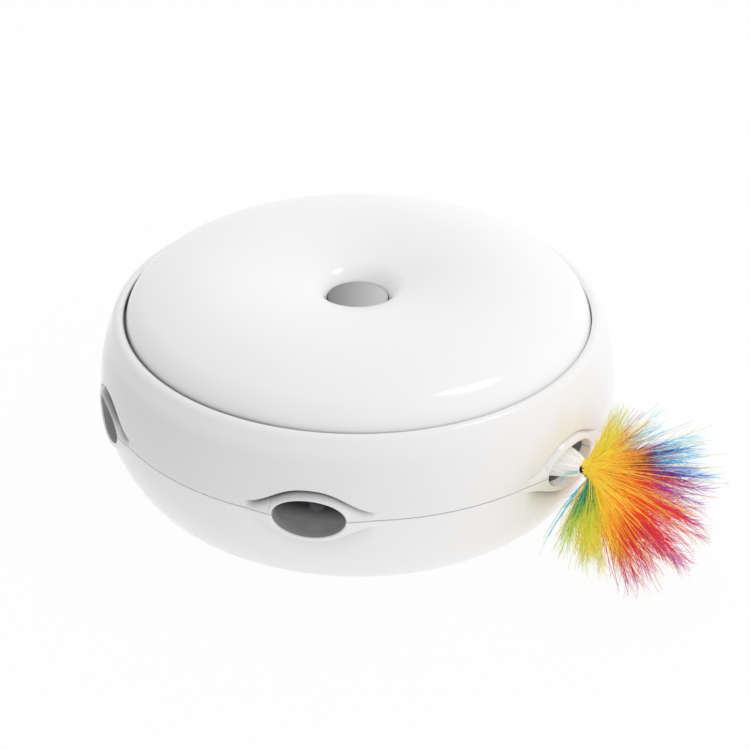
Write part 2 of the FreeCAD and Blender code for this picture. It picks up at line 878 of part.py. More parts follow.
def feather_quill():
    """The flexible stem: a quill in the arm's socket, and a bundle of down round it to the tie."""
    start = Vector(quill_start_x, 0, arm_level)
    quill = Part.makeCylinder(quill_radius, tie_x - quill_start_x, start, Vector(1, 0, 0))
    bundle_x = carrier_distance + arm_reach + bundle_gap
    bundle_start = Vector(bundle_x, 0, arm_level)
    bundle = Part.makeCone(bundle_start_radius, bundle_end_radius, tie_x - bundle_x, bundle_start,
                           Vector(1, 0, 0))
    return quill.fuse(bundle)


def quill_tie():
    """The small band that binds the feathers to the stem."""
    start = Vector(tie_x, 0, arm_level)
    return Part.makeCylinder(tie_radius, tie_length, start, Vector(1, 0, 0))


def plume(spread, lift):
    """One feather, a flat spindle that leaves the tie along a bearing and a rise."""
    loops = []
    for along, share in ((0.0, tuft_root_share), (tuft_belly, 1.0), (1.0, tuft_tip_share)):
        x = along * tuft_plume_length
        side = share * tuft_plume_width / 2
        face = share * tuft_plume_thickness / 2
        loops.append([Vector(x, side, 0), Vector(x, 0, face), Vector(x, -side, 0), Vector(x, 0, -face)])
    faces = [Part.Face(Part.makePolygon(loop + loop[:1])) for loop in (loops[0], loops[-1])]
    for near, far in zip(loops, loops[1:]):
        for index in range(4):
            after = (index + 1) % 4
            corners = [near[index], near[after], far[after], far[index], near[index]]
            faces.append(Part.Face(Part.makePolygon(corners)))
    blade = Part.makeSolid(Part.makeShell(faces))
    blade.rotate(Vector(0, 0, 0), Vector(0, 1, 0), -lift)
    blade.rotate(Vector(0, 0, 0), Vector(0, 0, 1), spread)
    root = tuft_root_share * tuft_plume_width / 2
    blade.translate(Vector(tie_x + tie_length + tuft_start + root, 0, arm_level))
    return blade


def feather_tuft():
    """The fan of soft feathers outside the opening."""
    blades = [plume(spread, lift) for spread in tuft_spreads for lift in tuft_lifts]
    return blades[0].multiFuse(blades[1:])


def button_housing():
    """The cup on the column's top that guides the button over its switch."""
    neck = column_radius - column_shoulder + press_gap
    cup = rod(cup_outer_radius, column_top_height, cup_top)
    cup = cup.cut(rod(cup_inner_radius, board_level, cup_top + overlap))
    sleeve = tube(neck + neck_wall, neck, column_top_height - neck_length, column_top_height)
    return cup.fuse(sleeve).cut(rod(column_bore_radius - overlap, 0, cup_top))


def circuit_board():
    """The round board under the button."""
    return rod(board_radius, board_level, board_top)


def tact_switch():
    """The small switch that the button's stem presses."""
    half = switch_width / 2
    body = block(-half, half, -half, half, board_top, board_top + switch_height)
    return body.fuse(rod(plunger_radius, board_top, board_top + switch_height + plunger_height))


def ribbon_cable():
    """The flat cable from the motor and the bay to the middle, and up the hollow column."""
    spot = motor_spot()
    level = deck_bottom - cable_drop
    half = cable_width / 2
    thick = cable_thickness / 2
    reach = math.hypot(spot.x, spot.y) - motor_radius
    run = block(-thick, reach, -half, half, level - thick, level + thick)
    run = turned(run, bearing_between(Vector(0, 0, 0), spot))
    bay_side = battery_bank_x + bay_width / 2 + bay_wall
    branch = block(bay_side, 0, -half, half, level - thick, level + thick)
    riser = block(-thick, thick, -half, half, level, board_level)
    return run.multiFuse([branch, riser])


NODES = {
    "lower_shell": lower_shell,
    "upper_shell": upper_shell,
    "top_cover": top_cover,
    "mode_button": mode_button,
    "return_pad": return_pad,
    "rubber_feet": rubber_feet,
    "battery_door": battery_door,
    "door_screw": door_screw,
    "batteries": batteries,
    "battery_contacts": battery_contacts,
    "gear_deck": gear_deck,
    "deck_screws": deck_screws,
    "drive_motor": drive_motor,
    "motor_pinion": motor_pinion,
    "first_gear": first_gear,
    "second_gear": second_gear,
    "gear_axles": gear_axles,
    "centre_column": centre_column,
    "thrust_washer": thrust_washer,
    "turntable_bush": turntable_bush,
    "turntable": turntable,
    "sun_gear": sun_gear,
    "planet_axle": planet_axle,
    "planet_gear": planet_gear,
    "feather_holder": feather_holder,
    "feather_quill": feather_quill,
    "quill_tie": quill_tie,
    "feather_tuft": feather_tuft,
    "button_housing": button_housing,
    "circuit_board": circuit_board,
    "tact_switch": tact_switch,
    "ribbon_cable": ribbon_cable,
}


def main():
    """Build every piece and write it to its own file."""
    os.makedirs("parts", exist_ok=True)
    for name, make in NODES.items():
        made = make()
        solid = Part.makeCompound(made) if isinstance(made, list) else made
        solid.exportStep(os.path.join("parts", name + ".step"))
        print(name, len(solid.Solids), "solids", round(solid.Volume, 1), "mm3", solid.isValid())


main()
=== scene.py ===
"""The looks of a round feather toy for a cat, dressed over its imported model.

Sizes inside the classes are in millimetres, and meshes are written in metres.
"""

import logging
import math
import random
from dataclasses import dataclass, field, replace
from enum import Enum
from typing import Any, Callable, Iterable, Sequence

import bmesh
import bpy
import numpy as np
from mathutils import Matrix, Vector, noise


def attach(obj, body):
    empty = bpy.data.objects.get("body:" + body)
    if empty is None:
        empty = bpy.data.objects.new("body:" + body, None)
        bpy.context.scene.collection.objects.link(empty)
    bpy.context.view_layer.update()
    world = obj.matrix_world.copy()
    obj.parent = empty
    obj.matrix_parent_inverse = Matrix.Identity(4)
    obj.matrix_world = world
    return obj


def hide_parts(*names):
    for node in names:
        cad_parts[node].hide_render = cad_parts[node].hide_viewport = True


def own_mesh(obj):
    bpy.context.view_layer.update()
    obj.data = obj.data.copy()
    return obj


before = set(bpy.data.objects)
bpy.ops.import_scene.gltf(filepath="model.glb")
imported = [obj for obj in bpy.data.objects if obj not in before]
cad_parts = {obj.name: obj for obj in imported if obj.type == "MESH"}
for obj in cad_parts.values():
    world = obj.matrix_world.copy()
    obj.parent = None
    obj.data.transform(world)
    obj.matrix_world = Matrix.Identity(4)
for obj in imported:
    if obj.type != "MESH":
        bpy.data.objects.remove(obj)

MM = 0.001
LOG = logging.getLogger("feather_toy")
WELD = 1e-6  # metres between points that are merged
BEYOND = -1.0  # the turn round an opening of a place that lies beyond it
FULL_TURN = 6.2832
UP = Vector((0.0, 0.0, 1.0))
OUT = Vector((1.0, 0.0, 0.0))

Pair = tuple[float, float]
Point = tuple[float, float, float]
Colour = tuple[float, float, float, float]
Strand = tuple[list[Vector], float, float]  # points, the plume's number and the tint

# The step at a collar's outline: how far beyond it each row lies, and the share of the hollow
# that is left there, or for the lower half the share of the way down to it
UPPER_STEP = ((-0.35, 1.0), (-0.12, 0.9), (-0.02, 0.35), (0.06, 0.04), (0.3, 0.0))
LOWER_STEP = ((-0.2, 0.0), (-0.05, 0.12), (0.05, 0.75), (0.2, 0.97), (0.45, 1.0))


def paint(code: str) -> Colour:
    """Turn a colour's hexadecimal code into linear red, green and blue.

    Args:
        code: six hexadecimal digits, as seen on a screen.

    Returns:
        The linear colour, with full alpha.
    """
    levels = [int(code[start:start + 2], 16) / 255 for start in (0, 2, 4)]
    # The numbers are those of the standard screen curve.
    linear = [level / 12.92 if level <= 0.04045 else ((level + 0.055) / 1.055) ** 2.4
              for level in levels]
    return linear[0], linear[1], linear[2], 1.0


def blend(low: float, high: float, share: float) -> float:
    """The value at a share of the way from low to high."""
    return low + (high - low) * share


# Node trees


class Term:
    """An output socket that can be used in sums and products."""

    def __init__(self, graph: "Graph", socket: bpy.types.NodeSocket) -> None:
        """Keep the socket and the tree that it belongs to."""
        self.graph = graph
        self.socket = socket

    def other(self, name: str | int) -> "Term":
        """Another output of the same node."""
        return Term(self.graph, self.socket.node.outputs[name])

    def _sum(self, operation: str, first: Any, second: Any) -> "Term":
        """Add a Math node for one operation on two values."""
        return self.graph.make("ShaderNodeMath", {"operation": operation}, {0: first, 1: second})

    def __add__(self, value: Any) -> "Term":
        """This value plus another."""
        return self._sum("ADD", self, value)

    __radd__ = __add__

    def __sub__(self, value: Any) -> "Term":
        """This value less another."""
        return self._sum("SUBTRACT", self, value)

    def __rsub__(self, value: Any) -> "Term":
        """Another value less this one."""
        return self._sum("SUBTRACT", value, self)

    def __mul__(self, value: Any) -> "Term":
        """This value times another."""
        return self._sum("MULTIPLY", self, value)

    __rmul__ = __mul__

    def __truediv__(self, value: Any) -> "Term":
        """This value over another."""
        return self._sum("DIVIDE", self, value)

    def __pow__(self, value: float) -> "Term":
        """This value to a power."""
        return self._sum("POWER", self, value)

    def __gt__(self, value: Any) -> "Term":
        """One where this value is the larger, and else nought."""
        return self._sum("GREATER_THAN", self, value)

    def __lt__(self, value: Any) -> "Term":
        """One where this value is the smaller, and else nought."""
        return self._sum("LESS_THAN", self, value)

    def size(self) -> "Term":
        """This value without its sign."""
        return self.graph.make("ShaderNodeMath", {"operation": "ABSOLUTE"}, {0: self})

    def most(self, value: Any) -> "Term":
        """The larger of this value and another."""
        return self._sum("MAXIMUM", self, value)

    def held(self, low: float = 0.0, high: float = 1.0) -> "Term":
        """This value kept between two limits."""
        return self._sum("MINIMUM", self._sum("MAXIMUM", self, low), high)

    def repeat(self, length: float) -> "Term":
        """The rest of this value after whole lengths are taken off."""
        return self._sum("FLOORED_MODULO", self, length)


class Graph:
    """A node tree that is being made, for a material or for geometry."""

    def __init__(self, tree: bpy.types.NodeTree) -> None:
        """Keep the tree."""
        self.tree = tree

    def make(self, kind: str, settings: dict[str, Any] | None = None,
             sockets: dict[Any, Any] | None = None, out: str | int = 0) -> Term:
        """Add one node.

        Args:
            kind: the node's type.
            settings: what is set on the node first.
            sockets: values or links, by input name or number.
            out: the output to hand back.

        Returns:
            The chosen output.
        """
        node = self.tree.nodes.new(kind)
        for name, value in (settings or {}).items():
            setattr(node, name, value)
        for key, value in (sockets or {}).items():
            if isinstance(value, Term):
                self.tree.links.new(value.socket, node.inputs[key])
            else:
                node.inputs[key].default_value = value
        if not node.outputs:
            return Term(self, node.inputs[0])
        return Term(self, node.outputs[out])


class Shader(Graph):
    """A material's tree, with the patterns that this toy's finishes share."""

    def __init__(self, name: str) -> None:
        """Start an empty material.

        Args:
            name: the material's name.
        """
        self.material = bpy.data.materials.new(name)
        self.material.use_nodes = True
        self.material.node_tree.nodes.clear()
        super().__init__(self.material.node_tree)
        self.place = self.make("ShaderNodeTexCoord", out="Object")

    def axis(self, name: str) -> Term:
        """One coordinate of the place, in millimetres."""
        parts = self.make("ShaderNodeSeparateXYZ", sockets={0: self.place}, out=name)
        return parts * (1 / MM)

    def clouds(self, grain: float, detail: float = 2.0, stretch: Point = (1.0, 1.0, 1.0)) -> Term:
        """Soft noise.

        Args:
            grain: the size of one patch, in millimetres.
            detail: how many finer layers are added.
            stretch: how much each axis is squeezed first.

        Returns:
            The noise, from nought to one.
        """
        spot = self.place
        if stretch != (1.0, 1.0, 1.0):
            spot = self.make("ShaderNodeVectorMath", {"operation": "MULTIPLY"},
                             {0: spot, 1: stretch})
        return self.make("ShaderNodeTexNoise", sockets={
            "Vector": spot, "Scale": 1 / (grain * MM), "Detail": detail}, out="Fac")

    def mix(self, low: Any, high: Any, share: Any) -> Term:
        """A colour between two, by a share."""
        return self.make("ShaderNodeMix", {"data_type": "RGBA"},
                         {0: share, 6: low, 7: high}, out=2)

    def relief(self, height: Term, depth: float) -> Term:
        """A normal from a height between nought and one, with the depth in millimetres."""
        return self.make("ShaderNodeBump", sockets={
            "Height": height, "Distance": depth * MM, "Strength": 1.0})

    def finish(self, **sockets: Any) -> bpy.types.Material:
        """Close the material with the usual surface.

        Args:
            **sockets: inputs of the surface, with low lines in place of blanks.

        Returns:
            The material.
        """
        named = {name.replace("_", " "): value for name, value in sockets.items()}
        surface = self.make("ShaderNodeBsdfPrincipled", sockets=named)
        self.make("ShaderNodeOutputMaterial", sockets={"Surface": surface})
        return self.material


# Finishes


class Gloss(Enum):
    """How shiny a moulded piece is."""

    POLISHED = 0.13
    SATIN = 0.36
    MATTE = 0.62


@dataclass(frozen=True)
class MouldedPlastic:
    """Injection-moulded plastic with a faint flow in its colour and a fine surface.

    The mesh's shade attribute is painted shade, which darkens the colour towards the deepest one.
    The glow is painted fill light, an emission that stands in for the light bounced into the toy's
    hollows;
    it may change with the distance from the toy's axis, from its share inside a radius to its share
    outside it.
    """

    name: str
    colour: str
    shade: str
    gloss: Gloss = Gloss.SATIN
    coat: float = 0.0
    grain: float = 0.004
    glow: float = 0.0
    inside: float = 1.0
    outside: float = 1.0
    turn_at: float = 62.5
    turn_width: float = 6.5
    deepest: str = "141415"
    flow_size: float = 22.0
    speck_size: float = 0.35
    touch_size: float = 9.0

    def material(self) -> bpy.types.Material:
        """Make the material.

        Returns:
            The material.
        """
        shader = Shader(self.name)
        flow = shader.clouds(self.flow_size, 3.0)
        speck = shader.clouds(self.speck_size, 1.0)
        handled = shader.clouds(self.touch_size, 4.0)
        rough = self.gloss.value
        # painted shade: the mesh's shade attribute darkens the colour towards the deepest one
        painted_shade_level = shader.make("ShaderNodeAttribute", {"attribute_name": "shade"}, out="Fac")
        moulded = shader.mix(paint(self.colour), paint(self.shade), flow * 0.7 + speck * 0.15)
        moulded = shader.mix(moulded, paint(self.deepest), painted_shade_level)
        reach = (shader.axis("X") ** 2.0 + shader.axis("Y") ** 2.0) ** 0.5
        share = ((reach - self.turn_at) / self.turn_width).held()
        share = share * (self.outside - self.inside) + self.inside
        return shader.finish(
            Base_Color=moulded, Roughness=(handled - 0.5) * (0.3 * rough) + rough,
            Coat_Weight=self.coat, Coat_Roughness=0.04, IOR=1.49,
            # painted fill light: the glow is an emission of the moulded colour, and no lamp
            Emission_Color=shader.mix(paint("000000"), moulded, share),
            Emission_Strength=self.glow,
            Normal=shader.relief(speck * 0.6 + flow * 0.4, self.grain))


@dataclass(frozen=True)
class Rubber:
    """Soft rubber or silicone, dull and slightly powdery."""

    name: str
    colour: str
    shade: str
    dust_size: float = 1.6
    pore_size: float = 0.22

    def material(self) -> bpy.types.Material:
        """Make the material.

        Returns:
            The material.
        """
        shader = Shader(self.name)
        dust = shader.clouds(self.dust_size, 5.0)
        pores = shader.clouds(self.pore_size, 2.0)
        return shader.finish(Base_Color=shader.mix(paint(self.colour), paint(self.shade), dust),
                             Roughness=dust * 0.2 + 0.68, Specular_IOR_Level=0.35,
                             Normal=shader.relief(pores, 0.02))


class Lay(Enum):
    """How a metal's fine lines run: their width, and how much each axis is squeezed."""

    DRAWN = (0.5, (1.0, 1.0, 0.06))
    TURNED = (0.4, (0.12, 0.12, 1.0))
    ROLLED = (0.6, (1.0, 0.15, 1.0))


@dataclass(frozen=True)
class Metal:
    """Bare metal with fine lines and a little tarnish."""

    name: str
    colour: str
    tarnish: str
    lay: Lay = Lay.ROLLED
    roughness: float = 0.3
    film_size: float = 5.0
    line_depth: float = 0.006

    def material(self) -> bpy.types.Material:
        """Make the material.

        Returns:
            The material.
        """
        shader = Shader(self.name)
        width, squeeze = self.lay.value
        lines = shader.clouds(width, 2.0, squeeze)
        film = (shader.clouds(self.film_size, 4.0) - 0.35).held() * 1.2
        return shader.finish(
            Base_Color=shader.mix(paint(self.colour), paint(self.tarnish), film),
            Metallic=1.0, Roughness=lines * 0.14 + self.roughness - 0.07,
            Normal=shader.relief(lines, self.line_depth))


@dataclass(frozen=True)
class CellWrap:
    """The printed sleeve of three round cells that lie side by side, turned end for end."""

    name: str
    middle_x: float = -34.0
    pitch: float = 15.2
    half_length: float = 25.25
    band_length: float = 12.5
    bare_nub: float = 1.7
    bare_foot: float = 0.5

    def material(self) -> bpy.types.Material:
        """Make the material.

        Returns:
            The material.
        """
        shader = Shader(self.name)
        across, along = shader.axis("X"), shader.axis("Y")
        in_middle = (across - self.middle_x).size() < self.pitch / 2
        forward = along * (1 - in_middle * 2)
        band = forward > self.half_length - self.band_length
        bare = (forward > self.half_length - self.bare_nub).most(
            forward < self.bare_foot - self.half_length)
        scuff = shader.clouds(3.0, 5.0)
        sleeve = shader.mix(paint("26303a"), paint("303c48"), scuff)
        sleeve = shader.mix(sleeve, paint("b98a4e"), band)
        return shader.finish(Base_Color=shader.mix(sleeve, paint("c3c4c2"), bare),
                             Metallic=bare * 0.9, Roughness=scuff * 0.12 + 0.3,
                             Normal=shader.relief(scuff, 0.01))


@dataclass(frozen=True)
class CircuitBoard:
    """Green lacquered board with copper tracks under the lacquer."""

    name: str
    pitch: float = 1.9
    half_track: float = 0.28
    half_pad: float = 0.5
    wander: float = 2.4

    def material(self) -> bpy.types.Material:
        """Make the material.

        Returns:
            The material.
        """
        shader = Shader(self.name)
        across, along = shader.axis("X"), shader.axis("Y")
        bend = shader.clouds(7.0, 0.0) * self.wander
        track = ((across + bend).repeat(self.pitch) - self.pitch / 2).size() < self.half_track
        pad = ((along.repeat(self.pitch * 2) - self.pitch).size() < self.half_pad) * track
        weave = shader.clouds(0.5, 2.0)
        board = shader.mix(paint("14532f"), paint("2b7a48"), track)
        board = shader.mix(board, paint("c9ad6a"), pad)
        return shader.finish(
            Base_Color=shader.mix(board, paint("0e3d24"), weave * 0.25),
            Metallic=pad * 0.8, Roughness=weave * 0.15 + 0.3,
            Normal=shader.relief(track * 0.7 + weave * 0.3, 0.03))


@dataclass(frozen=True)
class Ribbon:
    """Grey flat cable with fine grooves between its leads."""

    name: str
    pitch: float = 0.5

    def material(self) -> bpy.types.Material:
        """Make the material.

        Returns:
            The material.
        """
        shader = Shader(self.name)
        groove = shader.clouds(self.pitch, 0.0, (1.0, 1.0, 0.2))
        dust = shader.clouds(4.0, 3.0)
        return shader.finish(
            Base_Color=shader.mix(paint("9b9fa3"), paint("74787d"), groove * 0.8 + dust * 0.2),
            Roughness=dust * 0.1 + 0.45, Normal=shader.relief(groove, 0.08))


@dataclass(frozen=True)
class DyedFibre:
    """Feather strands whose dye is kept on the mesh, with a slightly uneven take-up and a glow of
    painted light.
    """

    name: str
    sheen: float = 0.2
    roughness: float = 0.55
    glow: float = 0.26

    def material(self) -> bpy.types.Material:
        """Make the material.

        Returns:
            The material.
        """
        shader = Shader(self.name)
        dye = shader.make("ShaderNodeAttribute", {"attribute_name": "dye"}, out="Color")
        patch = (shader.clouds(1.4, 3.0) * 1.5 - 0.45).held()
        fine = shader.clouds(0.3, 1.0)
        deep = shader.make("ShaderNodeMix", {"data_type": "RGBA", "blend_type": "MULTIPLY"},
                           {0: 0.4, 6: dye, 7: dye}, out=2)
        return shader.finish(Base_Color=shader.mix(dye, deep, patch),
                             Roughness=fine * 0.2 + self.roughness - 0.1,
                             Sheen_Weight=self.sheen, Sheen_Roughness=0.4,
                             # painted light: the dye glows, as if lit through the thin strands
                             Specular_IOR_Level=0.25, Emission_Color=dye,
                             Emission_Strength=self.glow, Normal=shader.relief(fine, 0.02))


class Finish(Enum):
    """Every finish of the toy, by the record's material slot."""

    shell_white = MouldedPlastic("shell_white", "f4f3f3", "f0efef", Gloss.POLISHED, 0.35)
    cover_white = MouldedPlastic("cover_white", "f6f6f6", "f3f3f3", Gloss.POLISHED, 0.35)
    button_grey = MouldedPlastic("button_grey", "c6c6c6", "c2c2c2", coat=0.1, grain=0.008)
    door_white = MouldedPlastic("door_white", "eceded", "e4e5e6", grain=0.012)
    # painted shade and painted fill light: a grey copy of the white shell for throats and inside
    # walls, with a glow
    painted_shade_grey = MouldedPlastic("painted_shade_grey", "8a8a8b", "828283", grain=0.01, glow=0.52,
                                 outside=0.55, turn_at=72.0)
    # painted fill light: the deck glows near the openings and hardly at all towards the axis, which
    # stays in painted shade
    deck_grey = MouldedPlastic("deck_grey", "757576", "6d6d6e", Gloss.MATTE, grain=0.02,
                               glow=0.66, inside=0.04)
    gear_plastic = MouldedPlastic("gear_plastic", "e6e2d6", "dcd7c8", grain=0.006)
    switch_black = MouldedPlastic("switch_black", "232427", "1a1b1d")
    # painted fill light: the stem's strands and quill glow a little
    quill_clear = MouldedPlastic("quill_clear", "f6f6f4", "ecebe7", glow=0.26)
    # the binding's own black, which also stands in for the shadow where the plumes meet
    tie_black = Rubber("tie_black", "1d1d20", "2b2b2f")
    pad_silicone = Rubber("pad_silicone", "c9cccd", "bcc0c2")
    foot_rubber = Rubber("foot_rubber", "3d3f42", "4b4d50")
    screw_steel = Metal("screw_steel", "c9cbcd", "9fa1a4", Lay.TURNED, 0.28)
    # painted fill light: the screws glow, less so within 62.5 mm of the axis
    screw_coated = MouldedPlastic("screw_coated", "7c7d80", "6f7073", coat=0.2, grain=0.01,
                                  glow=0.5, inside=0.2)
    motor_steel = Metal("motor_steel", "b9bbbd", "94979b", Lay.DRAWN, 0.34)
    pinion_brass = Metal("pinion_brass", "c8a45a", "9c7c3c", Lay.TURNED, 0.26)
    contact_nickel = Metal("contact_nickel", "cfcfca", "a8a79f", Lay.ROLLED, 0.3)
    cell_wrap = CellWrap("cell_wrap")
    board_green = CircuitBoard("board_green")
    cable_grey = Ribbon("cable_grey")
    feather_soft = DyedFibre("feather_soft")


class Wardrobe:
    """Makes each finish's material once and hands it out."""

    def __init__(self) -> None:
        """Start with no materials made."""
        self._made: dict[Finish, bpy.types.Material] = {}

    def material(self, finish: Finish) -> bpy.types.Material:
        """The material of a finish.

        Args:
            finish: the finish.

        Returns:
            The material.
        """
        if finish not in self._made:
            self._made[finish] = finish.value.material()
        return self._made[finish]

    def dress(self, piece: bpy.types.Object, finish: Finish) -> None:
        """Give a new piece its finish."""
        piece.data.materials.append(self.material(finish))

    def dress_node(self, node: str, finish: Finish) -> None:
        """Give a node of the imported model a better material."""
        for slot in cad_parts[node].material_slots:
            slot.material = self.material(finish)


# Mesh tools


def piece_of(name: str, mesh: bpy.types.Mesh) -> bpy.types.Object:
    """Put a mesh in the scene as a piece.

    Args:
        name: the piece's name.
        mesh: its mesh.

    Returns:
        The piece.
    """
    piece = bpy.data.objects.new(name, mesh)
    bpy.context.scene.collection.objects.link(piece)
    return piece


def closed_mesh(name: str, parts: Iterable[bmesh.types.BMesh],
                sharp: float = 32.0) -> bpy.types.Mesh:
    """Join closed parts into one mesh, each with its faces outwards.

    Args:
        name: the mesh's name.
        parts: the parts, which are freed here.
        sharp: edges that bend more than this many degrees stay crisp.

    Returns:
        The mesh.
    """
    whole = bmesh.new()
    for part in parts:
        carried = bpy.data.meshes.new("part")
        part.to_mesh(carried)
        part.free()
        whole.from_mesh(carried)
        bpy.data.meshes.remove(carried)
    mesh = bpy.data.meshes.new(name)
    whole.to_mesh(mesh)
    whole.free()
    mesh.polygons.foreach_set("use_smooth", [True] * len(mesh.polygons))
    mesh.set_sharp_from_angle(angle=math.radians(sharp))
    return mesh


def places_of(mesh: bpy.types.Mesh) -> np.ndarray:
    """Read a mesh's points.

    Args:
        mesh: the mesh.

    Returns:
        Rows of places in millimetres.
    """
    spots = np.empty(len(mesh.vertices) * 3)
    mesh.vertices.foreach_get("co", spots)
    return spots.reshape(-1, 3) / MM


def shade_mesh(mesh: bpy.types.Mesh, rule: Callable[[np.ndarray], np.ndarray]) -> None:
    """Keep on a mesh's points how deep in shade they lie."""
    shades = rule(places_of(mesh)).astype(np.float32)
    mesh.attributes.new("shade", "FLOAT", "POINT").data.foreach_set("value", shades)


def turned_away(spots: np.ndarray, bright_side: float, level: float, swing: float) -> np.ndarray:
    """How far places round the axis are turned from the light."""
    bearing = np.arctan2(spots[:, 1], spots[:, 0])
    return np.clip(level - swing * np.cos(bearing - math.radians(bright_side)), 0.0, 1.0)


def outwards(part: bmesh.types.BMesh) -> bmesh.types.BMesh:
    """Turn a closed part's faces outwards, as its volume says.

    Args:
        part: the part, which is changed.

    Returns:
        The same part.
    """
    if part.calc_volume(signed=True) < 0:
        bmesh.ops.reverse_faces(part, faces=part.faces[:])
    return part


def lattice(columns: Sequence[Sequence[Point]],
            inside: Callable[[int, int], bool] = lambda column, row: False) -> bmesh.types.BMesh:
    """A closed skin over columns of points that join round both ways.

    Args:
        columns: one closed loop of points, in millimetres, for each place round the axis.
        inside: tells from a column's and a row's number whether a face takes the second material.

    Returns:
        The skin.
    """
    skin = bmesh.new()
    spots = [[skin.verts.new([value * MM for value in point]) for point in column]
             for column in columns]
    for column, (here, after) in enumerate(zip(spots, spots[1:] + spots[:1])):
        for index in range(len(here)):
            below = (index + 1) % len(here)
            face = skin.faces.new((here[index], after[index], after[below], here[below]))
            face.material_index = int(inside(column, index))
    return outwards(skin)


def lathe(outline: Sequence[Pair], steps: int) -> bmesh.types.BMesh:
    """Turn an outline about the upright axis.

    Args:
        outline: radii and heights in millimetres; a ring's outline is closed, and a solid's starts
            and ends on the axis.
        steps: how many places round the axis.

    Returns:
        The turned form.
    """
    form = bmesh.new()
    solid = outline[0][0] == 0 and outline[-1][0] == 0
    inner = outline[1:-1] if solid else outline
    rings = []
    for index in range(steps):
        angle = 2 * math.pi * index / steps
        across, along = math.cos(angle), math.sin(angle)
        rings.append([form.verts.new((radius * across * MM, radius * along * MM, height * MM))
                      for radius, height in inner])
    poles = [form.verts.new((0.0, 0.0, end[1] * MM))
             for end in (outline[0], outline[-1])] if solid else []
    for here, after in zip(rings, rings[1:] + rings[:1]):
        for index in range(len(inner) - (1 if solid else 0)):
            below = (index + 1) % len(inner)
            form.faces.new((here[index], after[index], after[below], here[below]))
        if solid:
            form.faces.new((poles[0], after[0], here[0]))
            form.faces.new((here[-1], after[-1], poles[1]))
    return outwards(form)


def lathe_along(level: float, outline: Sequence[Pair], steps: int) -> bmesh.types.BMesh:
    """Turn an outline about a level line along X.

    Args:
        level: the line's height in millimetres.
        outline: places along X and radii, which start and end on the line.
        steps: how many places round it.

    Returns:
        The turned form.
    """
    form = lathe([(radius, x) for x, radius in outline], steps)
    for spot in form.verts:
        across, along, height = spot.co
        spot.co = (height, across, level * MM + along)
    return outwards(form)


def arc(centre: Pair, radius: float, start: float, end: float, count: int) -> list[Pair]:
    """Points on an arc between two bearings in degrees, with both ends.

    Args:
        centre: the arc's centre.
        radius: its radius.
        start: the first bearing.
        end: the last bearing.
        count: how many steps lie between them.

    Returns:
        The points.
    """
    bearings = [math.radians(blend(start, end, index / count)) for index in range(count + 1)]
    return [(centre[0] + radius * math.cos(angle), centre[1] + radius * math.sin(angle))
            for angle in bearings]


def run(start: Pair, end: Pair, count: int) -> list[Pair]:
    """Points on a straight run, without its first end."""
    return [(blend(start[0], end[0], index / count), blend(start[1], end[1], index / count))
            for index in range(1, count + 1)]


def kept_faces(node: str, keep: Callable[[list[Vector]], bool]) -> bmesh.types.BMesh:
    """A merged copy of some faces of a node.

    Args:
        node: the node's name.
        keep: tells from a face's corners, in millimetres, whether it stays.

    Returns:
        The copy.
    """
    copy = bmesh.new()
    copy.from_mesh(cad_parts[node].data)
    bmesh.ops.remove_doubles(copy, verts=copy.verts[:], dist=WELD)
    lost = [face for face in copy.faces if not keep([corner.co / MM for corner in face.verts])]
    bmesh.ops.delete(copy, geom=lost, context="FACES")
    return copy


# Housing


class Half(Enum):
    """The two halves of the housing, with the side of the parting on which each lies."""

    UPPER = 1
    LOWER = -1


@dataclass
class Collar:
    """The raised eye-shaped rim round an opening."""

    half_length: float = 20.0
    tail: float = 3.0  # the reach at its tips, above the parting and below it
    low_tail: float = 2.0
    rise: float = 6.5  # the swell at its middle, above the parting and below it
    fall: float = 6.0
    shoulder: float = 1.25
    stand: float = 1.2
    scoop: float = 1.6  # the hollow under the brow
    undercut: float = 0.85  # the hollow at the foot, and how it fades
    fade: float = 6.5
    fade_curve: float = 1.6
    half_width: float = 11.3
    half_height: float = 6.65
    lip: float = 0.55
    inner_lip: float = 0.3
    least_face: float = 0.6
    brow_shade: float = 1.0
    brow_reach: float = 1.1
    foot_shade: float = 0.8
    foot_reach: float = 3.0

    def outline(self, along: float, half: Half) -> float:
        """How far the collar reaches from the parting at a place along it.

        Args:
            along: the distance along the flank from the collar's middle.
            half: the shell.

        Returns:
            The reach.
        """
        tail, swell = (self.tail, self.rise) if half is Half.UPPER else (self.low_tail, self.fall)
        share = min(1.0, abs(along) / self.half_length) ** self.shoulder
        return tail + swell * math.cos(math.pi * share / 2) ** 2

    def proud(self, along: float) -> float:
        """How far the collar's face stands out at a place along it."""
        return self.stand * max(0.0, 1 - (along / self.half_length) ** 2)

    def depth(self, along: float, most: float) -> float:
        """A hollow's depth, which runs out at the collar's tips."""
        return most * max(0.0, 1 - (along / self.half_length) ** 4)


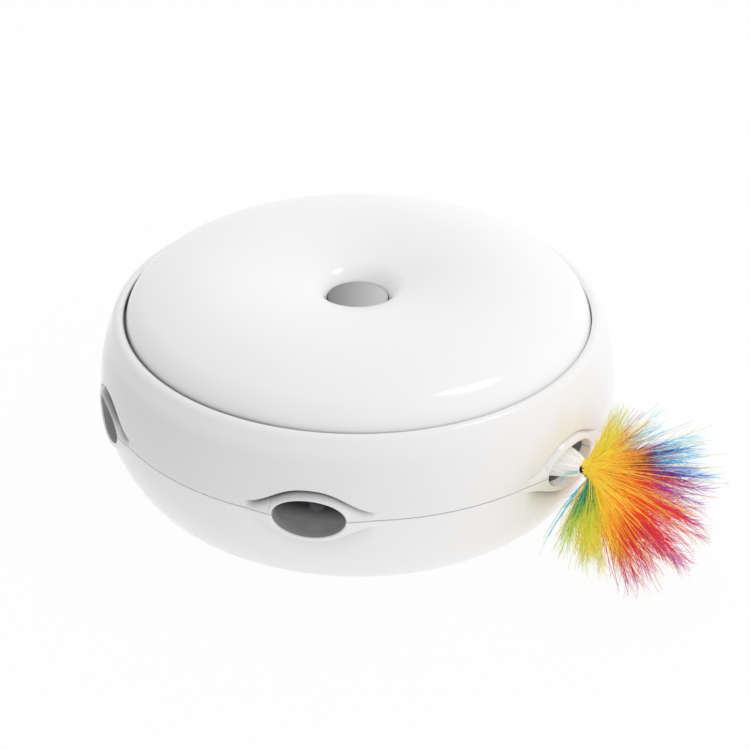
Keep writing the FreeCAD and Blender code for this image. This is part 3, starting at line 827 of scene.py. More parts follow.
@dataclass
class Housing:
    """The two shells, with their openings and collars.

    A shell's skin is a lattice. Its columns stand round the axis, closest at the openings, and
    each goes once round the shell's section.
    """

    wardrobe: Wardrobe
    radius: float = 86.5
    parting: float = 33.7
    trim: float = 0.03  # how far the skin stays inside the solid
    groove: float = 0.16  # half the gap at the parting
    edge: float = 0.26
    lower_curve: float = 47.3
    upper_curve: float = 57.5
    corner_curve: float = 14.0
    foot: float = 1.5
    floor_top: float = 3.7
    floor_cover: float = 0.02
    floor_lap: float = 0.25
    wall: float = 2.3
    rim_top: float = 59.6
    rim_edge: float = 2.8
    rim_fall: float = 0.64
    rim_lip: float = 0.15
    seat: float = 77.35
    ledge: float = 74.0
    ledge_top: float = 55.9
    ledge_low: float = 54.3
    ledge_slope: float = 3.8
    hook_top: float = 40.0  # below this the upper shell's hooks are kept
    post_foot: float = 20.0  # above this the lower shell's posts are kept
    openings: int = 6
    throat_steps: int = 24
    tail_steps: int = 12
    plain_steps: int = 10
    outer_steps: int = 4
    inner_steps: int = 3
    face_steps: int = 13
    flank_steps: int = 26
    wall_steps: int = 9
    bright_side: float = 30.0
    flank_shade: float = 0.1
    seam_shade: float = 0.85
    collar: Collar = field(default_factory=Collar)

    def corner(self) -> Pair:
        """Find the centre of the arc at the lower edge.

        Returns:
            Its radius and height.
        """
        height = self.foot + self.corner_curve
        reach = self.lower_curve - self.corner_curve
        across = math.sqrt(reach ** 2 - (self.parting - height) ** 2)
        return self.radius - self.lower_curve + across, height

    def flank(self, rise: float) -> float:
        """The radius of the flank at a height above or below the parting."""
        curve = self.upper_curve if rise > 0 else self.lower_curve
        return self.radius - curve + math.sqrt(max(0.0, curve ** 2 - rise ** 2))

    def inner(self, rise: float) -> float:
        """Find the radius of the inside wall.

        Args:
            rise: the height above or below the parting.

        Returns:
            The radius.
        """
        if rise >= 0:
            end = self.ledge_low - self.ledge_slope - self.parting
        else:
            end = (self.floor_top + self.parting) / 2 - self.wall - self.parting
        share = min(1.0, rise / end)
        return blend(self.radius - self.wall, self.flank(end) - self.wall, share)

    def _stations(self) -> list[Pair]:
        """Places along half a collar and beyond it.

        Returns:
            For each place the distance along at the flank, and the turn round the opening's edge
            in radians, or BEYOND.
        """
        collar = self.collar
        turns = [math.pi / 2 * index / self.throat_steps for index in range(self.throat_steps + 1)]
        wide = collar.half_width + collar.lip
        places = [(wide * math.sin(turn), turn) for turn in turns]
        places += [(blend(wide, collar.half_length, (index / self.tail_steps) ** 0.9), BEYOND)
                   for index in range(1, self.tail_steps + 1)]
        first = math.asin(collar.half_length / self.radius)
        last = math.pi / self.openings
        places += [(self.radius * math.sin(blend(first, last, index / self.plain_steps)), BEYOND)
                   for index in range(1, self.plain_steps + 1)]
        return places

    def _spot(self, along: float, rise: float, radius: float, sector: int) -> Point:
        """Place one point of the skin.

        Args:
            along: the distance along the flank from the sector's middle.
            rise: the height above or below the parting.
            radius: the distance from the axis.
            sector: the number of the opening's sector.

        Returns:
            The point.
        """
        angle = math.asin(max(-1.0, min(1.0, along / self.radius)))
        angle += 2 * math.pi * sector / self.openings
        radius -= self.trim
        return radius * math.cos(angle), radius * math.sin(angle), self.parting + rise

    def _edge_rows(self, along: float, turn: float, half: Half, outside: bool) -> list[Point]:
        """The rounded edge of the opening or of the parting, from the surface inwards.

        Args:
            along: the place along the flank.
            turn: the turn round the opening, or BEYOND.
            half: the shell.
            outside: whether this is the outer edge.

        Returns:
            Points as distance along, rise and depth below the surface.
        """
        collar = self.collar
        curve = (collar.lip if outside else collar.inner_lip) if turn >= 0 else self.edge
        steps = self.outer_steps if outside else self.inner_steps
        rows = []
        for index in range(steps + 1):
            share = math.pi / 2 * index / steps
            out, deep = curve * (1 - math.sin(share)), curve * (1 - math.cos(share))
            if turn >= 0:
                spot = (collar.half_width + out) * math.sin(turn)
                rise = max(self.groove, (collar.half_height + out) * math.cos(turn))
                spot = math.copysign(spot, along) if along else 0.0
                rows.append((spot, rise * half.value, deep))
            else:
                rows.append((along, (self.groove + out) * half.value, deep))
        return rows

    def _face_rows(self, along: float, start: float, half: Half) -> list[Pair]:
        """The collar's face and the step at its outline.

        Args:
            along: the place along the flank.
            start: how far from the parting the face begins.
            half: the shell.

        Returns:
            Rows as rise and stand.
        """
        collar = self.collar
        upper = half is Half.UPPER
        proud = collar.proud(along)
        sunk = -collar.depth(along, collar.scoop if upper else collar.undercut)
        brow = max(collar.outline(along, half), start + collar.least_face)
        step = UPPER_STEP if upper else LOWER_STEP
        rows = []
        for index in range(1, self.face_steps):
            share = index / self.face_steps
            stand = blend(proud, sunk, share ** 2.0) if upper else proud
            rows.append((blend(start, brow + step[0][0], share), stand))
        for beyond, share in step:
            rows.append((brow + beyond, sunk * share if upper else blend(proud, sunk, share)))
        return rows

    def _flank_rows(self, along: float, start: float, half: Half) -> list[Pair]:
        """The flank beyond the collar.

        Args:
            along: the place along the flank.
            start: how far from the parting the collar ends.
            half: the shell.

        Returns:
            Rows as rise and stand.
        """
        collar = self.collar
        rows = []
        for index in range(1, self.flank_steps + 1):
            rise = blend(start, self._flank_end(half), (index / self.flank_steps) ** 1.25)
            sunk = 0.0
            if half is Half.LOWER:
                share = min(1.0, (rise - start) / collar.fade)
                sunk = -collar.depth(along, collar.undercut) * (1 - share) ** collar.fade_curve
            rows.append((rise, sunk))
        return rows

    def _column(self, along: float, turn: float, sector: int, half: Half) -> list[Point]:
        """One closed loop of points up the outside of a shell and down its inside.

        Args:
            along: the place along the flank.
            turn: the turn round the opening, or BEYOND.
            sector: the number of the opening's sector.
            half: the shell.

        Returns:
            The loop.
        """
        side = half.value
        outer_edge = self._edge_rows(along, turn, half, True)
        inner_edge = self._edge_rows(along, turn, half, False)
        proud = self.collar.proud(along)
        points = [self._spot(spot, rise, self.flank(rise) + proud - deep, sector)
                  for spot, rise, deep in reversed(outer_edge)]
        outer = self._face_rows(along, abs(outer_edge[0][1]), half)
        outer += self._flank_rows(along, outer[-1][0], half)
        points += [self._spot(along, rise * side, self.flank(rise * side) + stand, sector)
                   for rise, stand in outer]
        closing = self._closing_rows(half)
        points += [self._spot(along, height - self.parting, radius, sector)
                   for radius, height in closing]
        low, top = abs(inner_edge[0][1]), abs(closing[-1][1] - self.parting)
        for index in range(1, self.wall_steps):
            rise = blend(top, low, index / self.wall_steps) * side
            points.append(self._spot(along, rise, self.inner(rise), sector))
        points += [self._spot(spot, rise, self.inner(rise) + deep, sector)
                   for spot, rise, deep in inner_edge]
        return points

    def _flank_end(self, half: Half) -> float:
        """Find how far from the parting the flank's arc ends.

        Args:
            half: the shell.

        Returns:
            The distance.
        """
        if half is Half.UPPER:
            reach = self.upper_curve - self.rim_edge
            return self.upper_curve * (self.rim_top - self.rim_edge - self.parting) / reach
        reach = self.lower_curve - self.corner_curve
        return (self.parting - self.corner()[1]) * self.lower_curve / reach

    def _closing_rows(self, half: Half) -> list[Pair]:
        """The rim or the base edge, and the way back to the inside wall."""
        return self._rim_rows() if half is Half.UPPER else self._base_rows()

    def _rim_rows(self) -> list[Pair]:
        """The rim, the seam's wall and the ledge under the cover.

        Returns:
            Rows as radius and height.
        """
        reach = self.upper_curve - self.rim_edge
        low = self.rim_top - self.rim_edge
        tilt = math.degrees(math.asin((low - self.parting) / reach))
        centre = (self.radius - self.upper_curve + reach * math.cos(math.radians(tilt)), low)
        rows = arc(centre, self.rim_edge, tilt, 90, 9)[1:]
        lip_x, lip_top = self.seat + self.rim_lip, self.rim_top - self.rim_fall
        rows += run(rows[-1], (lip_x, lip_top), 3)
        rows += arc((lip_x, lip_top - self.rim_lip), self.rim_lip, 90, 180, 3)[1:]
        rows += run(rows[-1], (self.seat, self.ledge_top), 2)
        rows += run(rows[-1], (self.ledge, self.ledge_top), 2)
        rows += run(rows[-1], (self.ledge, self.ledge_low), 1)
        under = self.ledge_low - self.ledge_slope
        rows += run(rows[-1], (self.flank(under - self.parting) - self.wall, under), 2)
        return rows

    def _base_rows(self) -> list[Pair]:
        """The lower edge and its lap over the floor plate.

        Returns:
            Rows as radius and height.
        """
        x, height = self.corner()
        away = x - self.radius + self.lower_curve
        tilt = math.degrees(math.atan2(self.parting - height, away))
        rows = arc((x, height), self.corner_curve, -tilt, -90, 12)[1:-1]
        below, above = self.foot - self.floor_cover, self.floor_top + self.floor_cover
        rows += [(x, below), (x - self.floor_lap, below), (x - self.floor_lap, above), (x, above)]
        bend = (self.floor_top + self.parting) / 2 - self.wall
        rows += run(rows[-1], (self.inner(bend - self.parting), bend), 3)
        return rows

    def skin(self, half: Half) -> bmesh.types.BMesh:
        """Make one shell's skin with its openings.

        Args:
            half: the shell.

        Returns:
            The skin, whose second material is the grey of painted shade.
        """
        places = self._stations()
        sector = [(-along, turn) for along, turn in reversed(places[1:-1])] + places
        columns = [self._column(along, turn, index, half)
                   for index in range(self.openings) for along, turn in sector]
        rows, width = len(columns[0]), len(sector)
        edge_start = rows - self.inner_steps - 2
        wall_start = edge_start - self.wall_steps + 1

        def wears_painted_grey(column: int, row: int) -> bool:
            """Tell whether a face is in an opening's throat or on the inside wall, which take the
            grey of painted shade.

            Args:
                column: the face's column.
                row: the face's row.

            Returns:
                Whether the face takes the painted-shade grey. The feather's own opening, which is
                lit, stays white.
            """
            here, after = sector[column % width], sector[(column + 1) % width]
            throat = here[1] >= 0 and after[1] >= 0
            if throat and column // width == 0:
                return wall_start <= row < edge_start
            return (wall_start <= row < (edge_start if throat else rows - 1)
                    or (throat and row == rows - 1))

        return lattice(columns, wears_painted_grey)

    def _inside(self, corners: list[Vector]) -> bool:
        """Tell whether a face belongs to what stands inside a shell's wall.

        Args:
            corners: the face's corners in millimetres.

        Returns:
            Whether it does.
        """
        middle = sum(corners, Vector()) / len(corners)
        gap, lap = 0.15, 0.3
        radius = math.hypot(middle.x, middle.y)
        return radius < self.inner(middle.z - self.parting) - gap and all(
            math.hypot(corner.x, corner.y) < self.inner(corner.z - self.parting) + lap
            for corner in corners)

    def _shade(self, spots: np.ndarray, half: Half) -> np.ndarray:
        """How deep in shade each point of a shell lies.

        The upper shell is shaded under each brow, in the cover's seam and on the side away from
        the light, and the lower one just below each collar.

        Args:
            spots: rows of places in millimetres.
            half: the shell.

        Returns:
            The shades, from nought to one.
        """
        collar = self.collar
        height = spots[:, 2] - self.parting
        rise = height * half.value
        flat = np.hypot(spots[:, 0], spots[:, 1])
        bearing = np.arctan2(spots[:, 1], spots[:, 0])
        step = 2 * math.pi / self.openings
        along = self.radius * np.sin((bearing + step / 2) % step - step / 2)
        share = np.clip(np.abs(along) / collar.half_length, 0, 1)
        beyond = rise - np.array([collar.outline(place, half) for place in along])
        outside = self.radius - self.wall - 1.0
        skin = (flat > outside - np.abs(height) * 0.3) & (share < 1)
        at_step, above_edge = 0.03, 0.5
        if half is Half.LOWER:
            facing = np.maximum(0.12, np.cos(bearing - math.radians(self.bright_side / 3))) ** 2
            below = np.exp(-np.maximum(0.0, beyond) / collar.foot_reach) * (beyond > at_step)
            return np.where(skin, collar.foot_shade * facing * below * (1 - share ** 4), 0.0)
        turned = turned_away(spots, self.bright_side, 0.75, 0.85)
        reach = collar.brow_reach + turned ** 2
        under = collar.brow_shade * turned * np.exp(-(np.minimum(0.0, beyond) / reach) ** 2)
        under = under * (beyond < at_step) * (rise > above_edge) * (1 - share ** 8)
        seam = ((np.abs(flat - self.seat) < 0.3) & (spots[:, 2] < self.rim_top - 0.5)
                & (spots[:, 2] > self.ledge_low))
        below_rim = np.clip((self.rim_top - 4.0 - spots[:, 2]) / 4.5, 0.0, 1.0)
        flank = self.flank_shade * turned_away(spots, self.bright_side, 0.5, 0.6) * below_rim
        flank = flank * (1 - np.clip(under, 0.0, 1.0)) * (rise > above_edge)
        return (np.where(skin, under, 0.0) + np.where(flat > outside - height * 0.25, flank, 0.0)
                + self.seam_shade * seam * turned ** 2)

    def build(self) -> list[bpy.types.Object]:
        """Make both shells.

        Returns:
            The upper and the lower shell.
        """
        rim = self.corner()[0] + 0.1
        hooks = kept_faces("upper_shell", lambda corners: all(
            corner.z < self.hook_top for corner in corners) and self._inside(corners))
        base = kept_faces("lower_shell", lambda corners: all(
            math.hypot(corner.x, corner.y) < rim for corner in corners)
            or (self._inside(corners) and all(corner.z > self.post_foot for corner in corners)))
        made = []
        for name, half, kept in (("upper_shell", Half.UPPER, hooks),
                                 ("lower_shell", Half.LOWER, base)):
            # kept inside faces above the floor plate take the grey of painted shade
            for face in kept.faces:
                lowest = min(corner.co.z for corner in face.verts)
                face.material_index = int(lowest > self.floor_top * MM - 1e-4)
            shell = piece_of(name + "_skin", closed_mesh(name + "_skin", [self.skin(half), kept]))
            shade_mesh(shell.data, lambda spots, side=half: self._shade(spots, side))
            self.wardrobe.dress(shell, Finish.shell_white)
            shell.data.materials.append(self.wardrobe.material(Finish.painted_shade_grey))
            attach(shell, "base")
            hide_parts(name)
            made.append(shell)
        return made


# Cover and button


@dataclass
class Cover:
    """The ring-shaped cover that drops into the rim."""

    wardrobe: Wardrobe
    radius: float = 77.2
    base: float = 55.9
    top: float = 72.0
    edge_curve: float = 12.0
    crown_circle: float = 45.0
    outer_curve: float = 61.6
    inner_curve: float = 92.0
    mouth_curve: float = 10.5
    mouth_depth: float = 4.8
    mouth_top: float = 62.6
    mouth: float = 10.35
    mouth_turn: float = 176.0
    mouth_lip: float = 0.08
    mouth_crest: float = 0.02
    mouth_round: float = 0.12
    bevel: float = 0.2
    wall: float = 2.0
    lining_inset: float = 8.0
    lining_steps: int = 8
    seam: float = 0.15  # how far the skirt draws in at its foot, and how soon that ends
    seam_fade: float = 5.0
    seam_top: float = 58.9
    seam_shade: float = 0.35
    bright_side: float = 20.0
    steps: int = 240

    def crown(self, radius: float) -> float:
        """The height of the top at a radius."""
        curve = self.outer_curve if radius > self.crown_circle else self.inner_curve
        return self.top - curve + math.sqrt(curve ** 2 - (radius - self.crown_circle) ** 2)

    def funnel(self) -> tuple[Pair, float]:
        """Find the arc from the crown down to the mouth.

        Returns:
            The arc's centre, and its lean at the mouth's edge in radians.
        """
        middle = (self.crown_circle, self.top - self.inner_curve)
        reach = math.hypot(self.mouth - middle[0], self.mouth_top - middle[1])
        share = self.inner_curve - (self.inner_curve ** 2 - reach ** 2) / (2 * self.mouth_curve)
        lean = (math.atan2(self.mouth_top - middle[1], middle[0] - self.mouth)
                - math.acos(share / reach))
        return (self.mouth + self.mouth_curve * math.cos(lean),
                self.mouth_top - self.mouth_curve * math.sin(lean)), lean

    def outline(self) -> list[Pair]:
        """The cover's section.

        Returns:
            The closed outline, as radii and heights.
        """
        across = self.radius - self.edge_curve
        reach = self.outer_curve - self.edge_curve
        outer = (across, self.top - self.outer_curve
                 + math.sqrt(reach ** 2 - (across - self.crown_circle) ** 2))
        mouth, fall = self.funnel()
        outer_crown = (self.crown_circle, self.top - self.outer_curve)
        inner_crown = (self.crown_circle, self.top - self.inner_curve)
        tilt = math.degrees(math.atan2(outer[1] - outer_crown[1], outer[0] - outer_crown[0]))
        lean = math.degrees(math.atan2(mouth[1] - inner_crown[1], mouth[0] - inner_crown[0]))
        start = max(0.0, math.degrees(math.asin((self.base - outer[1]) / self.edge_curve)))
        points = [(radius - self.seam * max(0.0, 1 - (height - self.base) / self.seam_fade), height)
                  for radius, height in arc(outer, self.edge_curve, start, tilt, 20)]
        points += arc(outer_crown, self.outer_curve, tilt, 90, 22)[1:]
        points += arc(inner_crown, self.inner_curve, 90, lean, 22)[1:]
        points += arc(mouth, self.mouth_curve, lean, self.mouth_turn - math.degrees(fall), 20)[1:]
        low, inner = self.mouth_top - self.mouth_depth, self.mouth + self.wall
        points += [(self.mouth + self.mouth_lip, self.mouth_top + self.mouth_crest),
                   (self.mouth, self.mouth_top - self.mouth_round)]
        points += run(points[-1], (self.mouth, low + self.bevel), 3)
        points += [(self.mouth + self.bevel, low), (inner, low)]
        funnel = mouth[1] + math.sqrt(self.mouth_curve ** 2 - (mouth[0] - inner) ** 2)
        points.append((inner, funnel - 1.5 * self.wall))
        for index in range(self.lining_steps + 1):
            radius = blend(mouth[0], self.radius - self.lining_inset, index / self.lining_steps)
            points.append((radius, self.crown(radius) - self.wall))
        rim = self.radius - self.wall
        points += [(rim, self.base + 2 * self.wall), (rim, self.base)]
        return points

    def _lean(self, skin: bmesh.types.BMesh) -> None:
        """Lean the skirt outwards on the bright side, where the seam closes.

        Args:
            skin: the cover's skin, which is changed.
        """
        for spot in skin.verts:
            reach = math.hypot(spot.co.x, spot.co.y)
            if reach > (self.radius - 1.0) * MM and spot.co.z < (self.seam_top + 0.2) * MM:
                bearing = math.atan2(spot.co.y, spot.co.x)
                facing = max(0.0, math.cos(bearing - math.radians(self.bright_side)))
                lean = self.seam * facing * MM
                spot.co.x += lean * spot.co.x / reach
                spot.co.y += lean * spot.co.y / reach

    def _shade(self, spots: np.ndarray) -> np.ndarray:
        """The shade down the seam, on the side away from the light.

        Args:
            spots: rows of places in millimetres.

        Returns:
            The shades, from nought to one.
        """
        turned = turned_away(spots, self.bright_side, 0.7, 0.7)
        reach = np.hypot(spots[:, 0], spots[:, 1])
        in_seam = (spots[:, 2] < self.seam_top) & (reach > self.radius - 1.5)
        return self.seam_shade * turned * in_seam

    def build(self) -> list[bpy.types.Object]:
        """Make the cover.

        Returns:
            The cover, in a list.
        """
        skin = lathe(self.outline(), self.steps)
        self._lean(skin)
        cover = piece_of("cover_skin", closed_mesh("cover_skin", [skin]))
        shade_mesh(cover.data, self._shade)
        self.wardrobe.dress(cover, Finish.cover_white)
        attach(cover, "cover")
        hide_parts("top_cover")
        return [cover]


@dataclass
class ButtonUnit:
    """The push button, and the soft ring that lifts it."""

    wardrobe: Wardrobe
    radius: float = 10.0
    top: float = 63.0
    edge: float = 0.4
    dome: float = 0.3
    dome_steps: int = 14
    chamfer: float = 0.2
    under: float = 60.2
    bottom: float = 51.5
    inner: float = 8.8
    stem: float = 2.2
    stem_low: float = 48.4
    pad_outer: float = 9.6
    pad_inner: float = 7.6
    pad_low: float = 43.4
    pad_high: float = 51.2
    pad_folds: int = 3
    pad_rows: int = 30
    fold_depth: float = 0.28
    travel: float = 0.9
    light_way: Pair = (0.77, 0.64)
    shade_middle: float = 0.32
    shade_swing: float = 0.4

    def _shade(self, spots: np.ndarray) -> np.ndarray:
        """The shade over the button's face, which grows away from the light."""
        towards = spots[:, 0] * self.light_way[0] + spots[:, 1] * self.light_way[1]
        return np.clip(self.shade_middle - self.shade_swing * towards / self.radius, 0.0, 1.0)

    def _button(self) -> bpy.types.Object:
        """Make the button, with a faint dome.

        Returns:
            The button.
        """
        flat = self.radius - self.edge
        steps = self.dome_steps
        outline = [(flat * index / steps,
                    self.top - self.dome * (flat * index / steps / flat) ** 2)
                   for index in range(steps + 1)]
        outline += arc((flat, self.top - self.dome - self.edge), self.edge, 84, 0, 8)
        outline += run(outline[-1], (self.radius, self.bottom + self.chamfer), 4)
        outline += [(self.radius - self.chamfer, self.bottom), (self.inner, self.bottom),
                    (self.inner, self.under), (self.stem, self.under),
                    (self.stem, self.stem_low), (0.0, self.stem_low)]
        button = piece_of("button_cap", closed_mesh("button_cap", [lathe(outline, 128)]))
        shade_mesh(button.data, self._shade)
        self.wardrobe.dress(button, Finish.button_grey)
        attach(button, "button")
        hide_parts("mode_button")
        return button

    def _pad(self) -> bpy.types.Object:
        """Make the silicone ring, with soft folds in its wall.

        Returns:
            The ring.
        """
        outer, inner = [], []
        for index in range(self.pad_rows + 1):
            share = index / self.pad_rows
            wave = self.fold_depth * (1 - math.cos(2 * math.pi * self.pad_folds * share))
            height = blend(self.pad_low, self.pad_high, share)
            outer.append((self.pad_outer - wave, height))
            inner.append((self.pad_inner + wave * 0.6, height))
        pad = piece_of("pad_ring", closed_mesh("pad_ring", [lathe(outer + inner[::-1], 72)]))
        self.wardrobe.dress(pad, Finish.pad_silicone)
        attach(pad, "base")
        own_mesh(pad)
        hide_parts("return_pad")
        return pad

    def build(self) -> list[bpy.types.Object]:
        """Make the button and its ring."""
        return [self._button(), self._pad()]


# Grown pieces


class Seed(Enum):
    """The seeds of what varies from barb to barb."""

    FLECK = 5
    SPIN = 11
    LEAN = 13
    SIZE = 17


class GrowTree(Graph):
    """A geometry tree with named inputs, which ends in real faces with one material."""

    def __init__(self, name: str, inputs: dict[str, str]) -> None:
        """Start the tree.

        Args:
            name: the tree's name.
            inputs: each input's name and its socket type.
        """
        tree = bpy.data.node_groups.new(name, "GeometryNodeTree")
        tree.interface.new_socket("Geometry", in_out="INPUT", socket_type="NodeSocketGeometry")
        self.keys = {}
        for label, kind in {**inputs, "Material": "NodeSocketMaterial"}.items():
            socket = tree.interface.new_socket(label, in_out="INPUT", socket_type=kind)
            self.keys[label] = socket.identifier
        tree.interface.new_socket("Geometry", in_out="OUTPUT", socket_type="NodeSocketGeometry")
        super().__init__(tree)
        self.entry = self.make("NodeGroupInput")

    def given(self, label: str) -> Term:
        """One of the named inputs."""
        return self.entry.other(label)

    def close(self, geometry: Term) -> None:
        """End the tree in real faces and the material.

        Args:
            geometry: what the tree has made.
        """
        real = self.make("GeometryNodeRealizeInstances", sockets={"Geometry": geometry})
        smooth = self.make("GeometryNodeSetShadeSmooth", sockets={"Geometry": real})
        dressed = self.make("GeometryNodeSetMaterial",
                            sockets={"Geometry": smooth, "Material": self.given("Material")})
        self.make("NodeGroupOutput", sockets={0: dressed})

    def chance(self, low: Any, high: Any, seed: Seed) -> Term:
        """A random number for each point."""
        return self.make("FunctionNodeRandomValue", {"data_type": "FLOAT"},
                         {2: low, 3: high, 8: seed.value}, out=1)

    def drift(self, ripple: Any, reach: Any) -> Term:
        """A soft shift that changes from place to place.

        Args:
            ripple: the noise's scale.
            reach: how far a point may shift, in metres.

        Returns:
            The shift.
        """
        place = self.make("GeometryNodeInputPosition")
        cloud = self.make("ShaderNodeTexNoise", sockets={
            "Vector": place, "Scale": ripple, "Detail": 2.0}, out="Color")
        centred = self.make("ShaderNodeVectorMath", {"operation": "SUBTRACT"},
                            {0: cloud, 1: (0.5,) * 3})
        return self.make("ShaderNodeVectorMath", {"operation": "SCALE"}, {0: centred, 3: reach})

    def tube(self, line: Term, taper: Term) -> Term:
        """A closed three-sided tube along a line.

        Args:
            line: the line.
            taper: the share of the tree's thickness at each point.

        Returns:
            The tube.
        """
        ring = self.make("GeometryNodeCurvePrimitiveCircle",
                         sockets={0: 3, 4: self.given("Thickness")})
        return self.make("GeometryNodeCurveToMesh", sockets={
            "Curve": line, "Profile Curve": ring, "Scale": taper, "Fill Caps": True})

    def grow(self, name: str, seedling: bpy.types.Mesh, material: bpy.types.Material,
             values: dict[str, Any]) -> bpy.types.Mesh:
        """Run the tree on a mesh and keep what it makes.

        Args:
            name: the new mesh's name.
            seedling: the mesh that the tree starts from.
            material: the material for every face.
            values: the named inputs' values.

        Returns:
            The plain mesh.
        """
        bed = piece_of(name + "_bed", seedling)
        modifier = bed.modifiers.new("grow", "NODES")
        modifier.node_group = self.tree
        for label, value in {**values, "Material": material}.items():
            modifier[self.keys[label]] = value
        bpy.context.view_layer.update()
        graph = bpy.context.evaluated_depsgraph_get()
        grown = bpy.data.meshes.new_from_object(bed.evaluated_get(graph))
        grown.name = name
        bed.modifiers.remove(modifier)
        bpy.data.objects.remove(bed)
        return grown


class StrandTree(GrowTree):
    """Thin tapering strands along the edges of a mesh."""

    def __init__(self) -> None:
        """Build the tree."""
        super().__init__("strands", {
            "Thickness": "NodeSocketFloat", "Tip Share": "NodeSocketFloat",
            "Waver": "NodeSocketFloat", "Ripple": "NodeSocketFloat"})
        line = self.make("GeometryNodeMeshToCurve", sockets={0: self.given("Geometry")})
        along = self.make("GeometryNodeSplineParameter", out="Factor")
        shift = self.drift(self.given("Ripple"), along * self.given("Waver"))
        line = self.make("GeometryNodeSetPosition", sockets={"Geometry": line, "Offset": shift})
        self.close(self.tube(line, 1 - along * (1 - self.given("Tip Share"))))


class BarbTree(GrowTree):
    """Curved tapering barbs on all sides of the shafts that a mesh's edges draw."""

    def __init__(self) -> None:
        """Build the tree."""
        super().__init__("barbs", {
            "Spacing": "NodeSocketFloat", "Barb Length": "NodeSocketFloat",
            "Thickness": "NodeSocketFloat", "Lean": "NodeSocketFloat",
            "Waver": "NodeSocketFloat", "Droop": "NodeSocketFloat"})
        shaft = self.make("GeometryNodeMeshToCurve", sockets={0: self.given("Geometry")})
        shaft = self.make("GeometryNodeResampleCurve", {"mode": "LENGTH"},
                          {"Curve": shaft, "Length": self.given("Spacing")})
        shaft = self.make("GeometryNodeStoreNamedAttribute",
                          {"data_type": "FLOAT", "domain": "POINT"},
                          {"Geometry": shaft, "Name": "fleck",
                           "Value": self.chance(0.0, 1.0, Seed.FLECK)})
        along = self.make("GeometryNodeSplineParameter", out="Factor")
        placed = self.make("GeometryNodeInstanceOnPoints", sockets={
            0: shaft, 1: along > 0.03, 2: self._barb(), 5: self._turn(), 6: self._size(along)})
        real = self.make("GeometryNodeRealizeInstances", sockets={"Geometry": placed})
        self.close(self._unruly(real))

    def _turn(self) -> Term:
        """Each barb's turn: along the shaft, round it, and out from it.

        Returns:
            The rotation.
        """
        lean = self.given("Lean")
        lean = self.chance(lean * 0.45, lean * 1.35, Seed.LEAN)
        tangent = self.make("GeometryNodeInputTangent")
        turn = self.make("FunctionNodeAlignRotationToVector", {"axis": "Z"}, {"Vector": tangent})
        for angles in (self._vector(0.0, 0.0, self.chance(0.0, FULL_TURN, Seed.SPIN)),
                       self._vector(0.0, lean, 0.0)):
            step = self.make("FunctionNodeEulerToRotation", sockets={0: angles})
            turn = self.make("FunctionNodeRotateRotation", {"rotation_space": "LOCAL"},
                             {0: turn, 1: step})
        return turn

    def _size(self, along: Term) -> Term:
        """Each barb's size: small at the shaft's foot, full soon after, less at its tip.

        Args:
            along: the share of the way along the shaft.

        Returns:
            The size, as a share of the barb's length.
        """
        fullness = (1.05 - along * 0.6) * (along * 4.0 + 0.35).held()
        fluff = self.make("GeometryNodeInputNamedAttribute", {"data_type": "FLOAT"},
                          {"Name": "fluff"})
        return fullness * fluff * self.chance(0.5, 1.0, Seed.SIZE)

    def _barb(self) -> Term:
        """One barb, which bows outwards and tapers to its tip.

        Returns:
            The barb.
        """
        length = self.given("Barb Length")
        bow = self.make("GeometryNodeCurveQuadraticBezier", sockets={
            "Resolution": 5, "Start": (0.0, 0.0, 0.0),
            "Middle": self._vector(0.0, 0.0, length * 0.55),
            "End": self._vector(length * 0.15, 0.0, length * 0.98)})
        along = self.make("GeometryNodeSplineParameter", out="Factor")
        return self.tube(bow, 1 - along * 0.8)

    def _vector(self, x: Any, y: Any, z: Any) -> Term:
        """Three values as a vector."""
        return self.make("ShaderNodeCombineXYZ", sockets={0: x, 1: y, 2: z})

    def _unruly(self, barbs: Term) -> Term:
        """Barbs that wander and sink a little.

        Args:
            barbs: the barbs.

        Returns:
            The moved barbs.
        """
        shift = self.drift(75.0, self.given("Waver"))
        sag = self._vector(0.0, 0.0, self.given("Droop") * -1.0)
        both = self.make("ShaderNodeVectorMath", {"operation": "ADD"}, {0: shift, 1: sag})
        return self.make("GeometryNodeSetPosition", sockets={"Geometry": barbs, "Offset": both})


# Feather


@dataclass(frozen=True)
class Plume:
    """One spray of the tuft: where it heads, how far it reaches and how it is dyed.

    The dye is written as places along the plume and the colour at each. The spread is how far
    the shafts fan out, barb is the barbs' size, and turn is how soon a shaft takes its heading.
    """

    heading: Point
    reach: float
    dye: str
    shafts: int
    spread: float = 0.2
    barb: float = 1.0
    turn: float = 7.0

    def stops(self) -> tuple[list[float], np.ndarray]:
        """Read the dye.

        Returns:
            The places along the plume at which it changes, and the linear colours there.
        """
        words = self.dye.split()
        colours = [paint(word)[:3] for word in words[1::2]]
        return [float(word) for word in words[::2]], np.array(colours)


